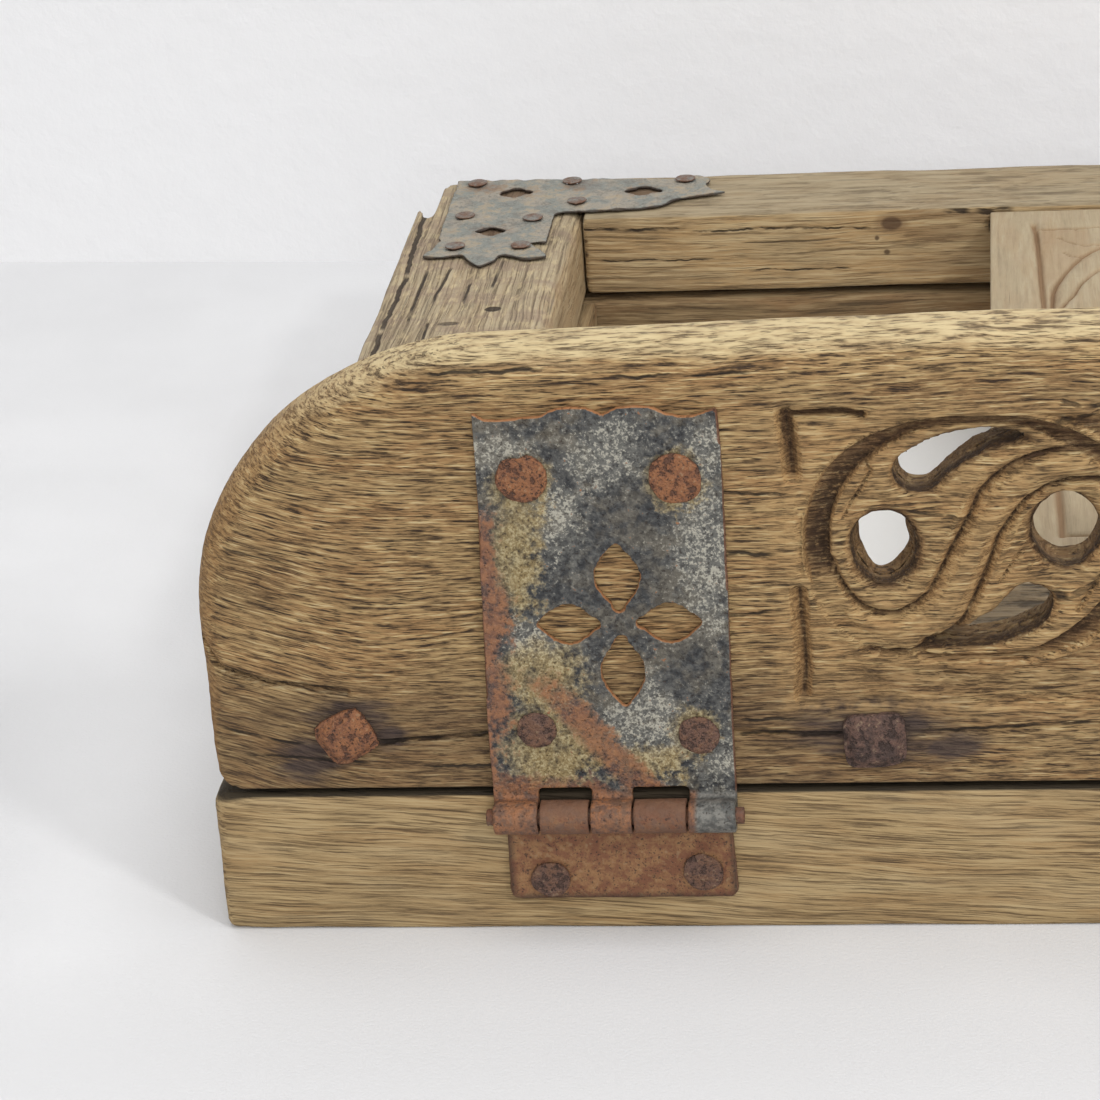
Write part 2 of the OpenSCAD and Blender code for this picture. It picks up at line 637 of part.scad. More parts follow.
// Strap plan for the right corner: x runs in from the corner's side, y runs forward from its back
lobe_steps = 8;
function lobe(c, r, from, to) = arc(c, r, from, to, lobe_steps);
strap_in_x = 12.5;
strap_in_y = 3;
strap_back_w = 39;
module strap_plan() difference() {
    polygon(concat(
        [[0, 0], [30, 1], [strap_back_l - 50, 2.4], [strap_back_l - 24, 4.8]],
        lobe([strap_back_l - 13, 8], 5.8, 240, 400),
        [[strap_back_l - 8.5, 14.2], [strap_back_l - 6, 18], [strap_back_l, 21.8], [strap_back_l - 10, 25],
            [strap_back_l - 19, 28.5], [strap_back_l - 24, 35], [strap_back_l - 32, strap_back_w - 1.5],
            [strap_w + 3, strap_back_w], [strap_w, strap_back_w + 2], [strap_w, strap_side_l - 20.5],
            [strap_w - 6.5, strap_side_l - 21.5]],
        lobe([strap_w - 5.5, strap_side_l - 9.5], 5.5, -30, 120),
        [[strap_w - 15.5, strap_side_l - 9.8]],
        lobe([strap_w / 2 - 1, strap_side_l - 5.5], 5.5, 20, 150),
        [[strap_w / 2 - 9, strap_side_l - 9.8]],
        lobe([5, strap_side_l - 13.5], 5.8, 60, 205),
        [[2, strap_side_l - 25], [0.6, strap_side_l - 28]]));
    for (d = strap_diamonds) translate([d[0], d[1]]) scale(d[2]) polygon(cusped_diamond());
    for (n = strap_nails) translate(n) circle(d = shank_d + 4 * pin_gap, $fn = small_fn);
}
function cusped_diamond() = [for (i = [0:7]) let (a = 45 * i, r = i % 2 == 0 ? (i % 4 == 0 ? 1 : 0.72) : 0.36)
    r * [cos(a), sin(a)]];
module strap_place() place() translate([lid_half_w - strap_in_x, box_d - strap_in_y, lid_top + face_gap])
    mirror([1, 0, 0]) mirror([0, 1, 0]) children();
module back_right_corner_strap() color(iron_strap) strap_place() linear_extrude(strap_t) strap_plan();
module back_left_corner_strap() mirror([1, 0, 0]) back_right_corner_strap();

module right_strap_nails() color(iron_rust) strap_place() for (n = strap_nails)
    translate([n[0], n[1], strap_t + face_gap]) nail(strap_head_d, shank_l);
module left_strap_nails() mirror([1, 0, 0]) right_strap_nails();

module strap_nail_holes() for (n = strap_nails)
    translate([lid_half_w - strap_in_x - n[0], box_d - strap_in_y - n[1], lid_top - shank_l])
        cylinder(d = shank_d + 2 * pin_gap, h = shank_l + over, $fn = small_fn);

// ---- Padlock eyes ----

function base_eye_z() = base_h - eye_gap / 2 - eye_t;
function lid_eye_z() = lid_z + eye_gap / 2;
eye_plate_h = 24;
eye_nail_x = 11;
eye_nail_in = 8;

module lock_eye(z, down) translate([0, box_d + face_gap, 0]) difference() {
    union() {
        block(-eye_w / 2, eye_w / 2, 0, lug_depth,
            down ? z + eye_t - eye_plate_h : z, down ? z + eye_t : z + eye_plate_h);
        translate([0, 0, z]) linear_extrude(eye_t) polygon(concat(
            [[-eye_w / 2, 0], [eye_w / 2, 0]],
            arc([0, eye_reach - face_gap - eye_round], eye_round, 0, 180, 16)));
    }
    translate([0, eye_hole_y - box_d - face_gap, z - over])
        cylinder(d = eye_hole_d, h = eye_t + 2 * over, $fn = round_fn);
    for (x = [-1, 1]) translate([x * eye_nail_x, -over, eye_nail_z(z, down)]) rotate([-90, 0, 0])
        cylinder(d = shank_d + 4 * pin_gap, h = lug_depth + 2 * over, $fn = small_fn);
}
function eye_nail_z(z, down) = down ? z + eye_t - eye_plate_h + eye_nail_in : z + eye_plate_h - eye_nail_in;

module eye_nail_holes(z) for (x = [-1, 1])
    translate([x * eye_nail_x, box_d + over, eye_nail_z(z, z < base_h)]) rotate([90, 0, 0])
        cylinder(d = shank_d + 2 * pin_gap, h = shank_l + over, $fn = small_fn);
module eye_nails(z) for (x = [-1, 1])
    translate([x * eye_nail_x, box_d + lug_depth + 2 * face_gap, eye_nail_z(z, z < base_h)])
        rotate([-90, 0, 0]) nail(strap_head_d, shank_l);

module base_lock_eye() color(iron_rust) place() lock_eye(base_eye_z(), true);
module lid_lock_eye() color(iron_rust) place() lock_eye(lid_eye_z(), false);
module base_eye_nails() color(iron_rust) place() eye_nails(base_eye_z());
module lid_eye_nails() color(iron_rust) place() eye_nails(lid_eye_z());

base_front_rail();
base_back_rail();
base_left_rail();
base_right_rail();
base_pegs();
coin_box_left_wall();
coin_box_right_wall();
coin_box_bottom();
left_hinge_lower_leaf();
right_hinge_lower_leaf();
left_hinge_pin();
right_hinge_pin();
left_hinge_lower_nails();
right_hinge_lower_nails();
base_lock_eye();
base_eye_nails();
lid_left_rail();
lid_right_rail();
lid_front_rail();
lid_back_rail();
lid_pegs();
tracery_front_board();
carved_lid_panel();
front_board_nails();
left_hinge_upper_leaf();
right_hinge_upper_leaf();
left_hinge_upper_nails();
right_hinge_upper_nails();
back_left_corner_strap();
back_right_corner_strap();
left_strap_nails();
right_strap_nails();
lid_lock_eye();
lid_eye_nails();
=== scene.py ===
import bpy, bmesh, math, json
import numpy as np
from mathutils import Matrix, Vector

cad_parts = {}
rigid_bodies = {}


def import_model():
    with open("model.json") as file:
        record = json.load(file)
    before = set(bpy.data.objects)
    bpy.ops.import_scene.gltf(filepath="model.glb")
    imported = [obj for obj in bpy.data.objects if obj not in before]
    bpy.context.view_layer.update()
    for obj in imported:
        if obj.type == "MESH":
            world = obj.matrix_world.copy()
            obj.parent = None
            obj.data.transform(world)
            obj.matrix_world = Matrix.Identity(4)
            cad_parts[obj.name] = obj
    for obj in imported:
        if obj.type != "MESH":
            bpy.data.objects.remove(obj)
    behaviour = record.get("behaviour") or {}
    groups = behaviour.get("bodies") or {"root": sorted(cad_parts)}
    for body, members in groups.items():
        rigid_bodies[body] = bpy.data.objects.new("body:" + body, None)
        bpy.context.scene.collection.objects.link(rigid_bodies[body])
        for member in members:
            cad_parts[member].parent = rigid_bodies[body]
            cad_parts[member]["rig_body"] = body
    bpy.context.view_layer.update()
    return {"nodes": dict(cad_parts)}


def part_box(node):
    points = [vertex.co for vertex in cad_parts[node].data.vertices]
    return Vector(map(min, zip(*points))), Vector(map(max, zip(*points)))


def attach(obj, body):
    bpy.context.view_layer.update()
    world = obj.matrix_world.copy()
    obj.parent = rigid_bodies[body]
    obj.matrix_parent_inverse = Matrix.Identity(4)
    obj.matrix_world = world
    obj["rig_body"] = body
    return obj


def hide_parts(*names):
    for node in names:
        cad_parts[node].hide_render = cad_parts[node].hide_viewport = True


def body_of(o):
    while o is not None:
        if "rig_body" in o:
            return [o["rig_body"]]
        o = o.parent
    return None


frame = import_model()
scene = bpy.context.scene
mm = 0.001
boxMid = 0.22435      # the frame's origin lies this far behind the front board's face
boardFoot = 46.2      # height of the front board's bottom edge, mm

# camera, floor, light

cameraSpec = {"place": (-0.08121, -1.14810, 0.54199), "lens": 123.14, "yaw": 7.8086, "pitch": 24.4156, "roll": 4.2929}
lightSpec = {
    "key": {"place": (0.72, -1.09, 1.18), "size": 0.20, "power": 7.6},
    "roof": {"place": (0.15, 0.0, 2.1), "size": 2.2, "power": 29.0},
    "front": {"place": (0.1, -2.3, 1.1), "size": 1.4, "power": 21.0},
    "sky": 0.60,
    "target": Vector((-0.05, 0.05, 0.05)),
}


def aimCamera(spec):
    yaw, pitch, roll = (math.radians(spec[k]) for k in ("yaw", "pitch", "roll"))
    forward = Vector((-math.sin(yaw) * math.cos(pitch), math.cos(yaw) * math.cos(pitch), -math.sin(pitch)))
    right = Vector((math.cos(yaw), math.sin(yaw), 0))
    down = forward.cross(right)
    across = right * math.cos(roll) + down * math.sin(roll)
    up = right * math.sin(roll) - down * math.cos(roll)
    turn = Matrix((across, up, -forward)).transposed().to_4x4()
    data = bpy.data.cameras.new("camera")
    data.sensor_width = 36
    data.lens = spec["lens"]
    camera = bpy.data.objects.new("camera", data)
    scene.collection.objects.link(camera)
    camera.matrix_world = Matrix.Translation(spec["place"]) @ turn
    scene.camera = camera


def addLight(name, spec):
    data = bpy.data.lights.new(name, "AREA")
    data.shape = "DISK"
    data.size = spec["size"]
    data.energy = spec["power"]
    light = bpy.data.objects.new(name, data)
    scene.collection.objects.link(light)
    light.location = spec["place"]
    towards = lightSpec["target"] - light.location
    light.rotation_euler = towards.to_track_quat("-Z", "Y").to_euler()


aimCamera(cameraSpec)
for lamp in ("key", "roof", "front"):
    addLight(lamp, lightSpec[lamp])
world = bpy.data.worlds.new("studio")
world.use_nodes = True
sky = world.node_tree.nodes["Background"]
sky.inputs["Color"].default_value = (1.0, 1.0, 1.0, 1)
sky.inputs["Strength"].default_value = lightSpec["sky"]
scene.world = world
scene.view_settings.view_transform = "Standard"
print("camera and light set")

# shader sums


def rgb(red, green, blue):
    # 0 to 255 screen colour to linear
    shares = (red / 255, green / 255, blue / 255)
    return tuple(c / 12.92 if c <= 0.04045 else ((c + 0.055) / 1.055) ** 2.4 for c in shares) + (1,)


class Wire:
    # one socket's value, so that sums can be written as sums
    def __init__(self, finish, socket):
        self.finish, self.socket = finish, socket

    def sum(self, operation, *values, clamp=False):
        return self.finish.node("ShaderNodeMath", {"operation": operation, "use_clamp": clamp}, values)

    def __add__(self, other): return self.sum("ADD", self, other)
    def __radd__(self, other): return self.sum("ADD", other, self)
    def __sub__(self, other): return self.sum("SUBTRACT", self, other)
    def __rsub__(self, other): return self.sum("SUBTRACT", other, self)
    def __mul__(self, other): return self.sum("MULTIPLY", self, other)
    def __rmul__(self, other): return self.sum("MULTIPLY", other, self)
    def __truediv__(self, other): return self.sum("DIVIDE", self, other)
    def __rtruediv__(self, other): return self.sum("DIVIDE", other, self)
    def __pow__(self, other): return self.sum("POWER", self, other)
    def __neg__(self): return self.sum("MULTIPLY", self, -1.0)
    def __abs__(self): return self.sum("ABSOLUTE", self)
    def __gt__(self, other): return self.sum("GREATER_THAN", self, other)
    def clamped(self): return self.sum("ADD", self, 0.0, clamp=True)
    def most(self, other): return self.sum("MAXIMUM", self, other)

    def step(self, low, high):
        # 0 at low, 1 at high, smooth between; low may be above high
        return self.finish.node("ShaderNodeMapRange", {"interpolation_type": "SMOOTHSTEP"},
                                {"Value": self, "From Min": low, "From Max": high, "To Min": 0.0, "To Max": 1.0})


class Finish:
    # a material under construction
    def __init__(self, name, **sockets):
        self.material = bpy.data.materials.new(name)
        self.material.use_nodes = True
        self.tree = self.material.node_tree
        self.shader = self.tree.nodes["Principled BSDF"]
        for socket, value in sockets.items():
            self.shader.inputs[socket.replace("_", " ")].default_value = value
        self.point = self.node("ShaderNodeVectorMath", {"operation": "SCALE"},
                               {0: self.node("ShaderNodeTexCoord", {}, {}, "Object"), "Scale": 1 / mm})
        self.x, self.y, self.z = self.parts(self.point)
        self.d = self.y + boxMid / mm    # depth behind the front face
        self.nx, self.ny, self.nz = self.parts(self.node("ShaderNodeTexCoord", {}, {}, "Normal"))

    def node(self, kind, settings, values, out=0):
        node = self.tree.nodes.new(kind)
        for name, value in settings.items():
            setattr(node, name, value)
        pairs = values.items() if isinstance(values, dict) else enumerate(values)
        for key, value in pairs:
            if isinstance(value, Wire):
                self.tree.links.new(value.socket, node.inputs[key])
            else:
                node.inputs[key].default_value = value
        return Wire(self, node.outputs[out])

    def parts(self, vector):
        split = self.tree.nodes.new("ShaderNodeSeparateXYZ")
        self.tree.links.new(vector.socket, split.inputs[0])
        return [Wire(self, split.outputs[i]) for i in range(3)]

    def vector(self, a, b, c):
        return self.node("ShaderNodeCombineXYZ", {}, [a, b, c])

    def noise(self, where, scale, detail=3.0, rough=0.6):
        # scale: one number, or one along each axis
        scale = (scale,) * 3 if isinstance(scale, float) else scale
        stretched = self.node("ShaderNodeVectorMath", {"operation": "MULTIPLY"}, {0: where, 1: scale})
        return self.node("ShaderNodeTexNoise", {"noise_dimensions": "3D"},
                         {"Vector": stretched, "Scale": 1.0, "Detail": detail, "Roughness": rough})

    def mix(self, share, first, second, blend="MIX"):
        node = self.tree.nodes.new("ShaderNodeMix")
        node.data_type, node.blend_type = "RGBA", blend
        for socket, value in ((node.inputs[0], share), (node.inputs[6], first), (node.inputs[7], second)):
            if isinstance(value, Wire):
                self.tree.links.new(value.socket, socket)
            else:
                socket.default_value = value
        return Wire(self, node.outputs[2])

    def patch(self, a, b, at, size, soft=0.5):
        # 1 in the middle of an oval round at, 0 past its edge
        far = (((a - at[0]) / size[0]) ** 2.0 + ((b - at[1]) / size[1]) ** 2.0) ** 0.5
        return far.step(1.0, 1.0 - soft)

    def spots(self, a, b, ovals, soft):
        # the most of several ovals, each its middle and half sizes
        total = None
        for at, size in ovals:
            oval = self.patch(a, b, at, size, soft)
            total = oval if total is None else total.most(oval)
        return total

    def line(self, a, b, points, width, soft, after=None):
        # 1 along a bent line through the points, whose first numbers rise
        total = after
        for (a0, b0), (a1, b1) in zip(points, points[1:]):
            if total is not None:
                # a touch of the last stretch, so that they are worked out one after another
                a = self.node("ShaderNodeMath", {"operation": "MULTIPLY_ADD"}, [total, 1e-5, a])
            slope, half = (b1 - b0) / (a1 - a0), (a1 - a0) / 2
            off = abs(b - (a * slope + (b0 - a0 * slope))).step(width + soft, width)
            fade = abs(a - (a0 + a1) / 2).step(half, half - min(4.0, half / 2))
            total = off * fade if total is None else (off * fade).most(total)
        return total

    def bump(self, height, distance, strength):
        return self.node("ShaderNodeBump", {}, {"Strength": strength, "Distance": distance, "Height": height})

    def done(self, **links):
        for socket, wire in links.items():
            self.tree.links.new(wire.socket, self.shader.inputs[socket.replace("_", " ")])
        return self.material


# floor and wall

stageSpec = {
    "half": 4.0, "wallAt": 0.304, "wallSlope": -0.0763, "wallLow": -0.01, "wallHigh": 3.0,
    # the front and left floor tones are painted shade, darker than the rest
    "floor": (rgb(210, 210, 211), rgb(215, 215, 216)), "before": rgb(206, 206, 207), "beside": rgb(199, 199, 200),
    # the tone inside the box is painted light, paler than the rest
    "within": rgb(236, 236, 234),
    # the wall tones are painted shade on the left and painted light on the right
    "wallLeft": (rgb(230, 230, 231), rgb(233, 233, 234)), "wallRight": (rgb(244, 244, 246), rgb(248, 248, 250)),
}


def floorFinish(spec):
    f = Finish("paleFloor", Roughness=0.85, Specular_IOR_Level=0.2)
    weave = f.noise(f.point, 0.9, 2)
    colour = f.mix(f.noise(f.point, 0.012, 2, 0.55).step(0.3, 0.7), *spec["floor"])
    # painted shade: the floor darker towards the front, and towards the left past the box's end
    colour = f.mix(f.y.step(-226.0, -300.0), colour, spec["before"])
    colour = f.mix(f.y.step(60.0, -140.0) * f.x.step(-350.0, -430.0), colour, spec["beside"])
    # painted light: the floor paler inside the box's frame
    within = abs(f.x).step(290.0, 280.0) * abs(f.y).step(200.0, 190.0)
    return f.done(Base_Color=f.mix(within, colour, spec["within"]), Normal=f.bump(weave, 0.0003, 0.5))


def wallFinish(spec):
    f = Finish("paleWall", Roughness=0.9, Specular_IOR_Level=0.2)
    plaster = f.noise(f.point, 0.06, 5, 0.62)
    # painted shade and light: the wall darker on the left, paler on the right
    colour = f.mix(f.x.step(-480.0, 360.0), f.mix(plaster, *spec["wallLeft"]), f.mix(plaster, *spec["wallRight"]))
    # clear from behind, so the box's back can be looked at
    behind = f.node("ShaderNodeNewGeometry", {}, {}, "Backfacing")
    clear = f.node("ShaderNodeBsdfTransparent", {}, {})
    seen = f.node("ShaderNodeMixShader", {}, {0: behind, 1: Wire(f, f.shader.outputs[0]), 2: clear})
    f.tree.links.new(seen.socket, f.tree.nodes["Material Output"].inputs["Surface"])
    return f.done(Base_Color=colour, Normal=f.bump(plaster, 0.004, 0.2))


def paintStage(spec):
    half, low, high = spec["half"], spec["wallLow"], spec["wallHigh"]
    left, right = (spec["wallAt"] + spec["wallSlope"] * x for x in (-half, half))
    for name, corners, material in (
            ("floor", [(-half, -half, 0), (half, -half, 0), (half, half, 0), (-half, half, 0)], floorFinish(spec)),
            ("wall", [(-half, left, low), (half, right, low), (half, right, high), (-half, left, high)],
             wallFinish(spec))):
        mesh = bpy.data.meshes.new(name)
        mesh.from_pydata(corners, [], [(0, 1, 2, 3)])
        mesh.materials.append(material)
        piece = bpy.data.objects.new(name, mesh)
        scene.collection.objects.link(piece)


paintStage(stageSpec)
print("floor and wall laid")

# shaping


def gradientNoise(points, seed=0):
    # smooth noise from -1 to 1 at each point
    base = np.floor(points).astype(np.int64)
    part = points - base
    fade = part ** 3 * (part * (part * 6 - 15) + 10)
    total = np.zeros(len(points))
    for corner in np.ndindex(2, 2, 2):
        cell = (base + corner) * (73856093, 19349663, 83492791)
        key = (cell[:, 0] ^ cell[:, 1] ^ cell[:, 2] ^ (seed + 1) * 2654435761) & 0x7FFFFFFF
        key = (key ^ (key >> 13)) * 1274126177 & 0x7FFFFFFF
        key = key ^ (key >> 16)
        slopes = np.stack([(key >> shift & 255) / 127.5 - 1 for shift in (0, 8, 16)], 1)
        weight = np.where(corner, fade, 1 - fade).prod(1)
        total += weight * (slopes * (part - corner)).sum(1)
    return total


def layeredNoise(points, scale, layers=3, seed=0):
    # scale: one number, or one along each axis
    scale = np.array(scale)
    return sum(gradientNoise(points * scale * 2 ** k + 17.3 * k, seed + k) * 0.5 ** k for k in range(layers))


def takeCopy(node, name, grid):
    # a fresh, evenly meshed copy of a CAD node, with its points in mm and depth from the front face
    build = bmesh.new()
    build.from_mesh(frame["nodes"][node].data)
    bmesh.ops.remove_doubles(build, verts=build.verts, dist=1e-6)
    mesh = bpy.data.meshes.new(name)
    build.to_mesh(mesh)
    build.free()
    mesh.materials.clear()
    piece = bpy.data.objects.new(name, mesh)
    scene.collection.objects.link(piece)
    remesh = piece.modifiers.new("remesh", "REMESH")
    remesh.mode = "VOXEL"
    remesh.voxel_size = grid * mm
    remesh.adaptivity = 0
    bpy.context.view_layer.update()
    even = bpy.data.meshes.new_from_object(piece.evaluated_get(bpy.context.evaluated_depsgraph_get()))
    piece.modifiers.clear()
    piece.data = even
    even.name = name
    points, normals = np.empty((2, len(even.vertices) * 3))
    even.vertices.foreach_get("co", points)
    even.vertices.foreach_get("normal", normals)
    points = points.reshape(-1, 3) / mm
    points[:, 1] += boxMid / mm
    return piece, points, normals.reshape(-1, 3)


def putBack(piece, points, node, material):
    # hands the shaped copy over in its CAD node's place
    points = points.copy()
    points[:, 1] -= boxMid / mm
    mesh = piece.data
    mesh.vertices.foreach_set("co", (points * mm).ravel())
    mesh.materials.clear()
    mesh.materials.append(material)
    mesh.polygons.foreach_set("use_smooth", np.full(len(mesh.polygons), True))
    mesh.update()
    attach(piece, body_of(frame["nodes"][node])[0])
    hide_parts(node)


def nodeBox(node):
    low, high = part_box(node)
    shift = Vector((0, boxMid, 0))
    return np.array((low + shift) / mm), np.array((high + shift) / mm)


def roundBox(points, low, high, radius):
    # wears the edges of the box low..high to the radius given for each point
    radius = np.minimum(radius, (high - low).min() / 2 - 0.01)
    core = np.clip(points, low + radius[:, None], high - radius[:, None])
    out = points - core
    far = np.linalg.norm(out, axis=1)
    past = far > radius
    points[past] = core[past] + out[past] / far[past, None] * radius[past, None]


def relax(piece, points, moving, rounds):
    # evens out the chosen points between their neighbours
    pairs = np.empty(len(piece.data.edges) * 2, dtype=np.int64)
    piece.data.edges.foreach_get("vertices", pairs)
    first, second = pairs[0::2], pairs[1::2]
    count = np.bincount(pairs, minlength=len(points)).astype(float)
    for _ in range(rounds):
        mean = np.stack([(np.bincount(first, points[second, k], len(points))
                          + np.bincount(second, points[first, k], len(points))) / count for k in range(3)], 1)
        points[moving] += (mean - points)[moving] * 0.5


# weathered oak

# dark to pale, and how far the upper sides are paled, partly by wear and partly as painted light
oakTones = {
    "front": {"shade": rgb(53, 39, 27), "dark": rgb(107, 83, 55), "amber": rgb(143, 107, 68),
              "middle": rgb(146, 119, 81), "light": rgb(172, 146, 101), "worn": rgb(192, 175, 136), "fresh": 0.8},
    "rail": {"shade": rgb(65, 53, 40), "dark": rgb(116, 100, 77), "amber": rgb(155, 130, 95),
             "middle": rgb(153, 137, 109), "light": rgb(174, 160, 132), "worn": rgb(167, 152, 125), "fresh": 0.5},
    "base": {"shade": rgb(83, 64, 44), "dark": rgb(129, 106, 73), "amber": rgb(149, 120, 81),
             "middle": rgb(156, 133, 95), "light": rgb(171, 147, 107), "worn": rgb(167, 148, 112), "fresh": 0.6},
    "inner": {"shade": rgb(59, 46, 33), "dark": rgb(103, 83, 57), "amber": rgb(131, 99, 66),
              "middle": rgb(135, 113, 81), "light": rgb(156, 134, 99), "worn": rgb(151, 131, 98), "fresh": 0.4},
    "panel": {"shade": rgb(96, 78, 58), "dark": rgb(136, 120, 96), "amber": rgb(154, 132, 102),
              "middle": rgb(152, 137, 110), "light": rgb(166, 152, 125), "worn": rgb(161, 146, 119), "fresh": 0.4},
    # darker tones for the lid's front rail: painted shade where it is seen in shadow behind the board
    "grey": {"shade": rgb(36, 29, 22), "dark": rgb(92, 79, 61), "amber": rgb(122, 102, 74),
             "middle": rgb(128, 112, 87), "light": rgb(150, 132, 104), "worn": rgb(140, 122, 95), "fresh": 0.3},
}


def oak(name, tones, along="x", lens=(0.055, 0.5), lean=None, marks=None, shelteredOrShaded=None, groove=1.0, grain=1.0,
        roughness=0.78):
    # along: the grain's direction; lens: how often the figure repeats along and across it
    # grain and groove: how strong its dark dashes and its furrows are
    tone = oakTones[tones]
    f = Finish(name, Specular_IOR_Level=0.28)
    u, v, w = {"x": (f.x, f.z, f.d), "y": (f.d, f.x, f.z), "z": (f.z, f.x, f.d)}[along]
    place = f.vector(u, v, w)
    flow = f.noise(place, (0.008, 0.02, 0.015), 2, 0.5)
    ripple = f.noise(place, (0.045, 0.11, 0.05), 2, 0.5)
    rise = v + (flow - 0.5) * 9.0 + (ripple - 0.5) * 1.5
    if lean:
        rise = rise + lean(f)
    path = f.vector(u, rise, w * 0.35)
    fibres = f.noise(path, (0.06, 4.2, 4.2), 2.0)
    frays = f.noise(path, (0.35, 2.6, 2.6), 2.0)
    figure = f.noise(path, (lens[0], lens[1], lens[1]), 3.0, 0.65) + (frays - 0.5) * 0.16
    thread = f.noise(path, (lens[0] * 1.8, lens[1] * 2.3, lens[1] * 2.3), 2.0) + (fibres - 0.5) * 0.10
    hue = f.noise(path, (0.02, 0.12, 0.12))
    cloud = f.noise(path, (0.045, 0.30, 0.3), 2.0)
    rings = f.noise(f.vector(u, rise, w), (0.006, 0.02, 0.55), 2.0, 0.5)
    shake = f.noise(path, (0.012, 0.5, 0.5), 2.0, 0.5)
    dash = (figure.step(0.43, 0.33) * 0.85).most(thread.step(0.42, 0.33) * 0.8)
    fleck = (thread * 0.5 + figure * 0.5).step(0.56, 0.66)
    colour = f.mix(hue.step(0.40, 0.62) * 0.75, tone["middle"], tone["amber"])
    colour = f.mix(cloud.step(0.50, 0.68) * 0.55, colour, tone["dark"])
    colour = f.mix(rings.step(0.50, 0.40) * 0.45, colour, tone["dark"])
    colour = f.mix(figure.step(0.50, 0.64) * 0.8, colour, tone["light"])
    colour = f.mix(fibres.step(0.45, 0.75) * 0.45, colour, tone["light"])
    colour = f.mix(fibres.step(0.48, 0.26) * 0.50, colour, tone["dark"])
    colour = f.mix((figure.step(0.49, 0.38) * 0.55 * grain).clamped(), colour, tone["dark"])
    # upward faces paled towards the worn tone: partly weathering, partly painted light from above
    upper = f.nz.step(0.45, 0.92)
    if shelteredOrShaded:
        upper = upper * (1 - shelteredOrShaded(f))
    colour = f.mix(upper * tone["fresh"] * (figure.step(0.34, 0.6) * 0.6 + 0.4), colour, tone["worn"])
    colour = f.mix(fleck * 0.6, colour, tone["worn"])
    colour = f.mix((dash * grain + shake.step(0.29, 0.25) * 0.8).clamped() * (upper * -0.35 + 1), colour,
                   tone["shade"])
    height = fibres * 0.18 + figure.step(0.32, 0.50) * 0.42 * grain
    height = height + thread.step(0.32, 0.45) * 0.34 * grain + shake.step(0.25, 0.29) * 0.5
    rough = thread * 0.12 + (roughness - 0.06)
    if marks:
        colour, height, rough = marks(f, colour, height, rough, tone)
    normal = f.bump(height, 0.0009 * groove, 0.85)
    return f.done(Base_Color=colour, Roughness=rough, Normal=normal)


def manyCracks(f, a, b, paths, seed, pace=1.0):
    # wandering dark splits along bent lines: each path is its points, width and softness
    wander = f.noise(f.vector(a * pace, b * 0.05, seed), (0.09, 1, 1), 3.0, 0.65)
    broken = f.noise(f.vector(a * pace, b * 0.4 * pace, seed), (0.11, 1, 1), 2.0).step(0.34, 0.52)
    line = b + (wander - 0.5) * 3.2
    total = None
    for points, width, soft in paths:
        total = f.line(a, line, points, width, soft, total)
    return total * (broken * 0.75 + 0.25)


# front board

boardSpec = {
    "grid": 0.85, "frontWear": 11.5, "backWear": 7.0, "footWear": 0.7,
    "halfWidth": 309.0, "height": 129.8, "crown": 2.5,
    "cornerAcross": 88.0, "cornerUp": 78.0, "thick": 24.0,
    "ovalHalf": (46.5, 37.5), "ovalUp": 72.1, "ovalApart": 93.0, "ovalSquare": 2.3,
    "rimDeep": 5.0, "fieldDeep": 1.1, "groundDeep": 1.7,
    "fieldHalf": 146, "fieldLow": 16, "fieldHigh": 114,
    # splits cut into the face: points, half width and depth
    "splits": [([(-309, 92), (-303, 84), (-290, 79), (-268, 76)], 1.4, 2.2),
               ([(-262, 60), (-240, 61.5), (-225, 63)], 1.3, 2.0),
               ([(-161, 62), (-128, 61)], 1.2, 1.5), ([(-112, 61), (-60, 63), (0, 61)], 1.2, 1.3)],
    "stain": rgb(58, 48, 48),
    # iron stains round the big nails: middles and half sizes
    "stains": [((-267, 68), (20, 12)), ((-280, 55), (17, 12)), ((-257, 62), (9, 7)), ((-121, 62), (38, 15)),
               ((-100, 57), (16, 8)), ((0, 60), (34, 13)), ((119, 61), (46, 14)), ((268, 64), (28, 16))],
    # dark shakes: points, width and softness
    "shakes": [([(-309, 93), (-303, 85), (-290, 80), (-268, 77)], 0.28, 0.5),
               ([(-262, 60), (-240, 61.5), (-225, 63)], 0.4, 0.5), ([(-306, 66), (-292, 62), (-281, 60)], 0.2, 0.5),
               ([(-162, 62), (-128, 61)], 0.3, 0.5), ([(-250, 53), (-225, 52.4)], 0.2, 0.4),
               ([(-112, 61.5), (-60, 64), (20, 61), (110, 62)], 0.35, 0.5), ([(-160, 66), (-140, 66)], 0.2, 0.4),
               ([(-300, 57), (-262, 54)], 0.15, 0.4), ([(-162, 135), (-140, 133)], 0.2, 0.4),
               ([(-162, 117), (-145, 116)], 0.25, 0.4), ([(-162, 98), (-148, 98.6)], 0.2, 0.4),
               ([(-113, 127), (-101, 125.7), (-92, 124.5)], 0.3, 0.4),
               ([(-72, 152.6), (-66, 153), (-59, 156.4), (-30, 157)], 0.5, 0.5),
               ([(-70, 159.4), (-64, 157.6), (-50, 158.6)], 0.3, 0.5),
               ([(-74.5, 102), (-68, 101.6), (-60, 105), (-48, 106)], 0.7, 0.6),
               ([(-240, 170), (-205, 171)], 0.15, 0.4), ([(-190, 168.5), (-150, 169)], 0.15, 0.4),
               ([(262, 78), (309, 92)], 0.3, 0.5), ([(60, 106), (75, 101.6)], 0.5, 0.6),
               ([(225, 63), (262, 60)], 0.3, 0.5), ([(128, 62), (162, 63)], 0.3, 0.5)],
}
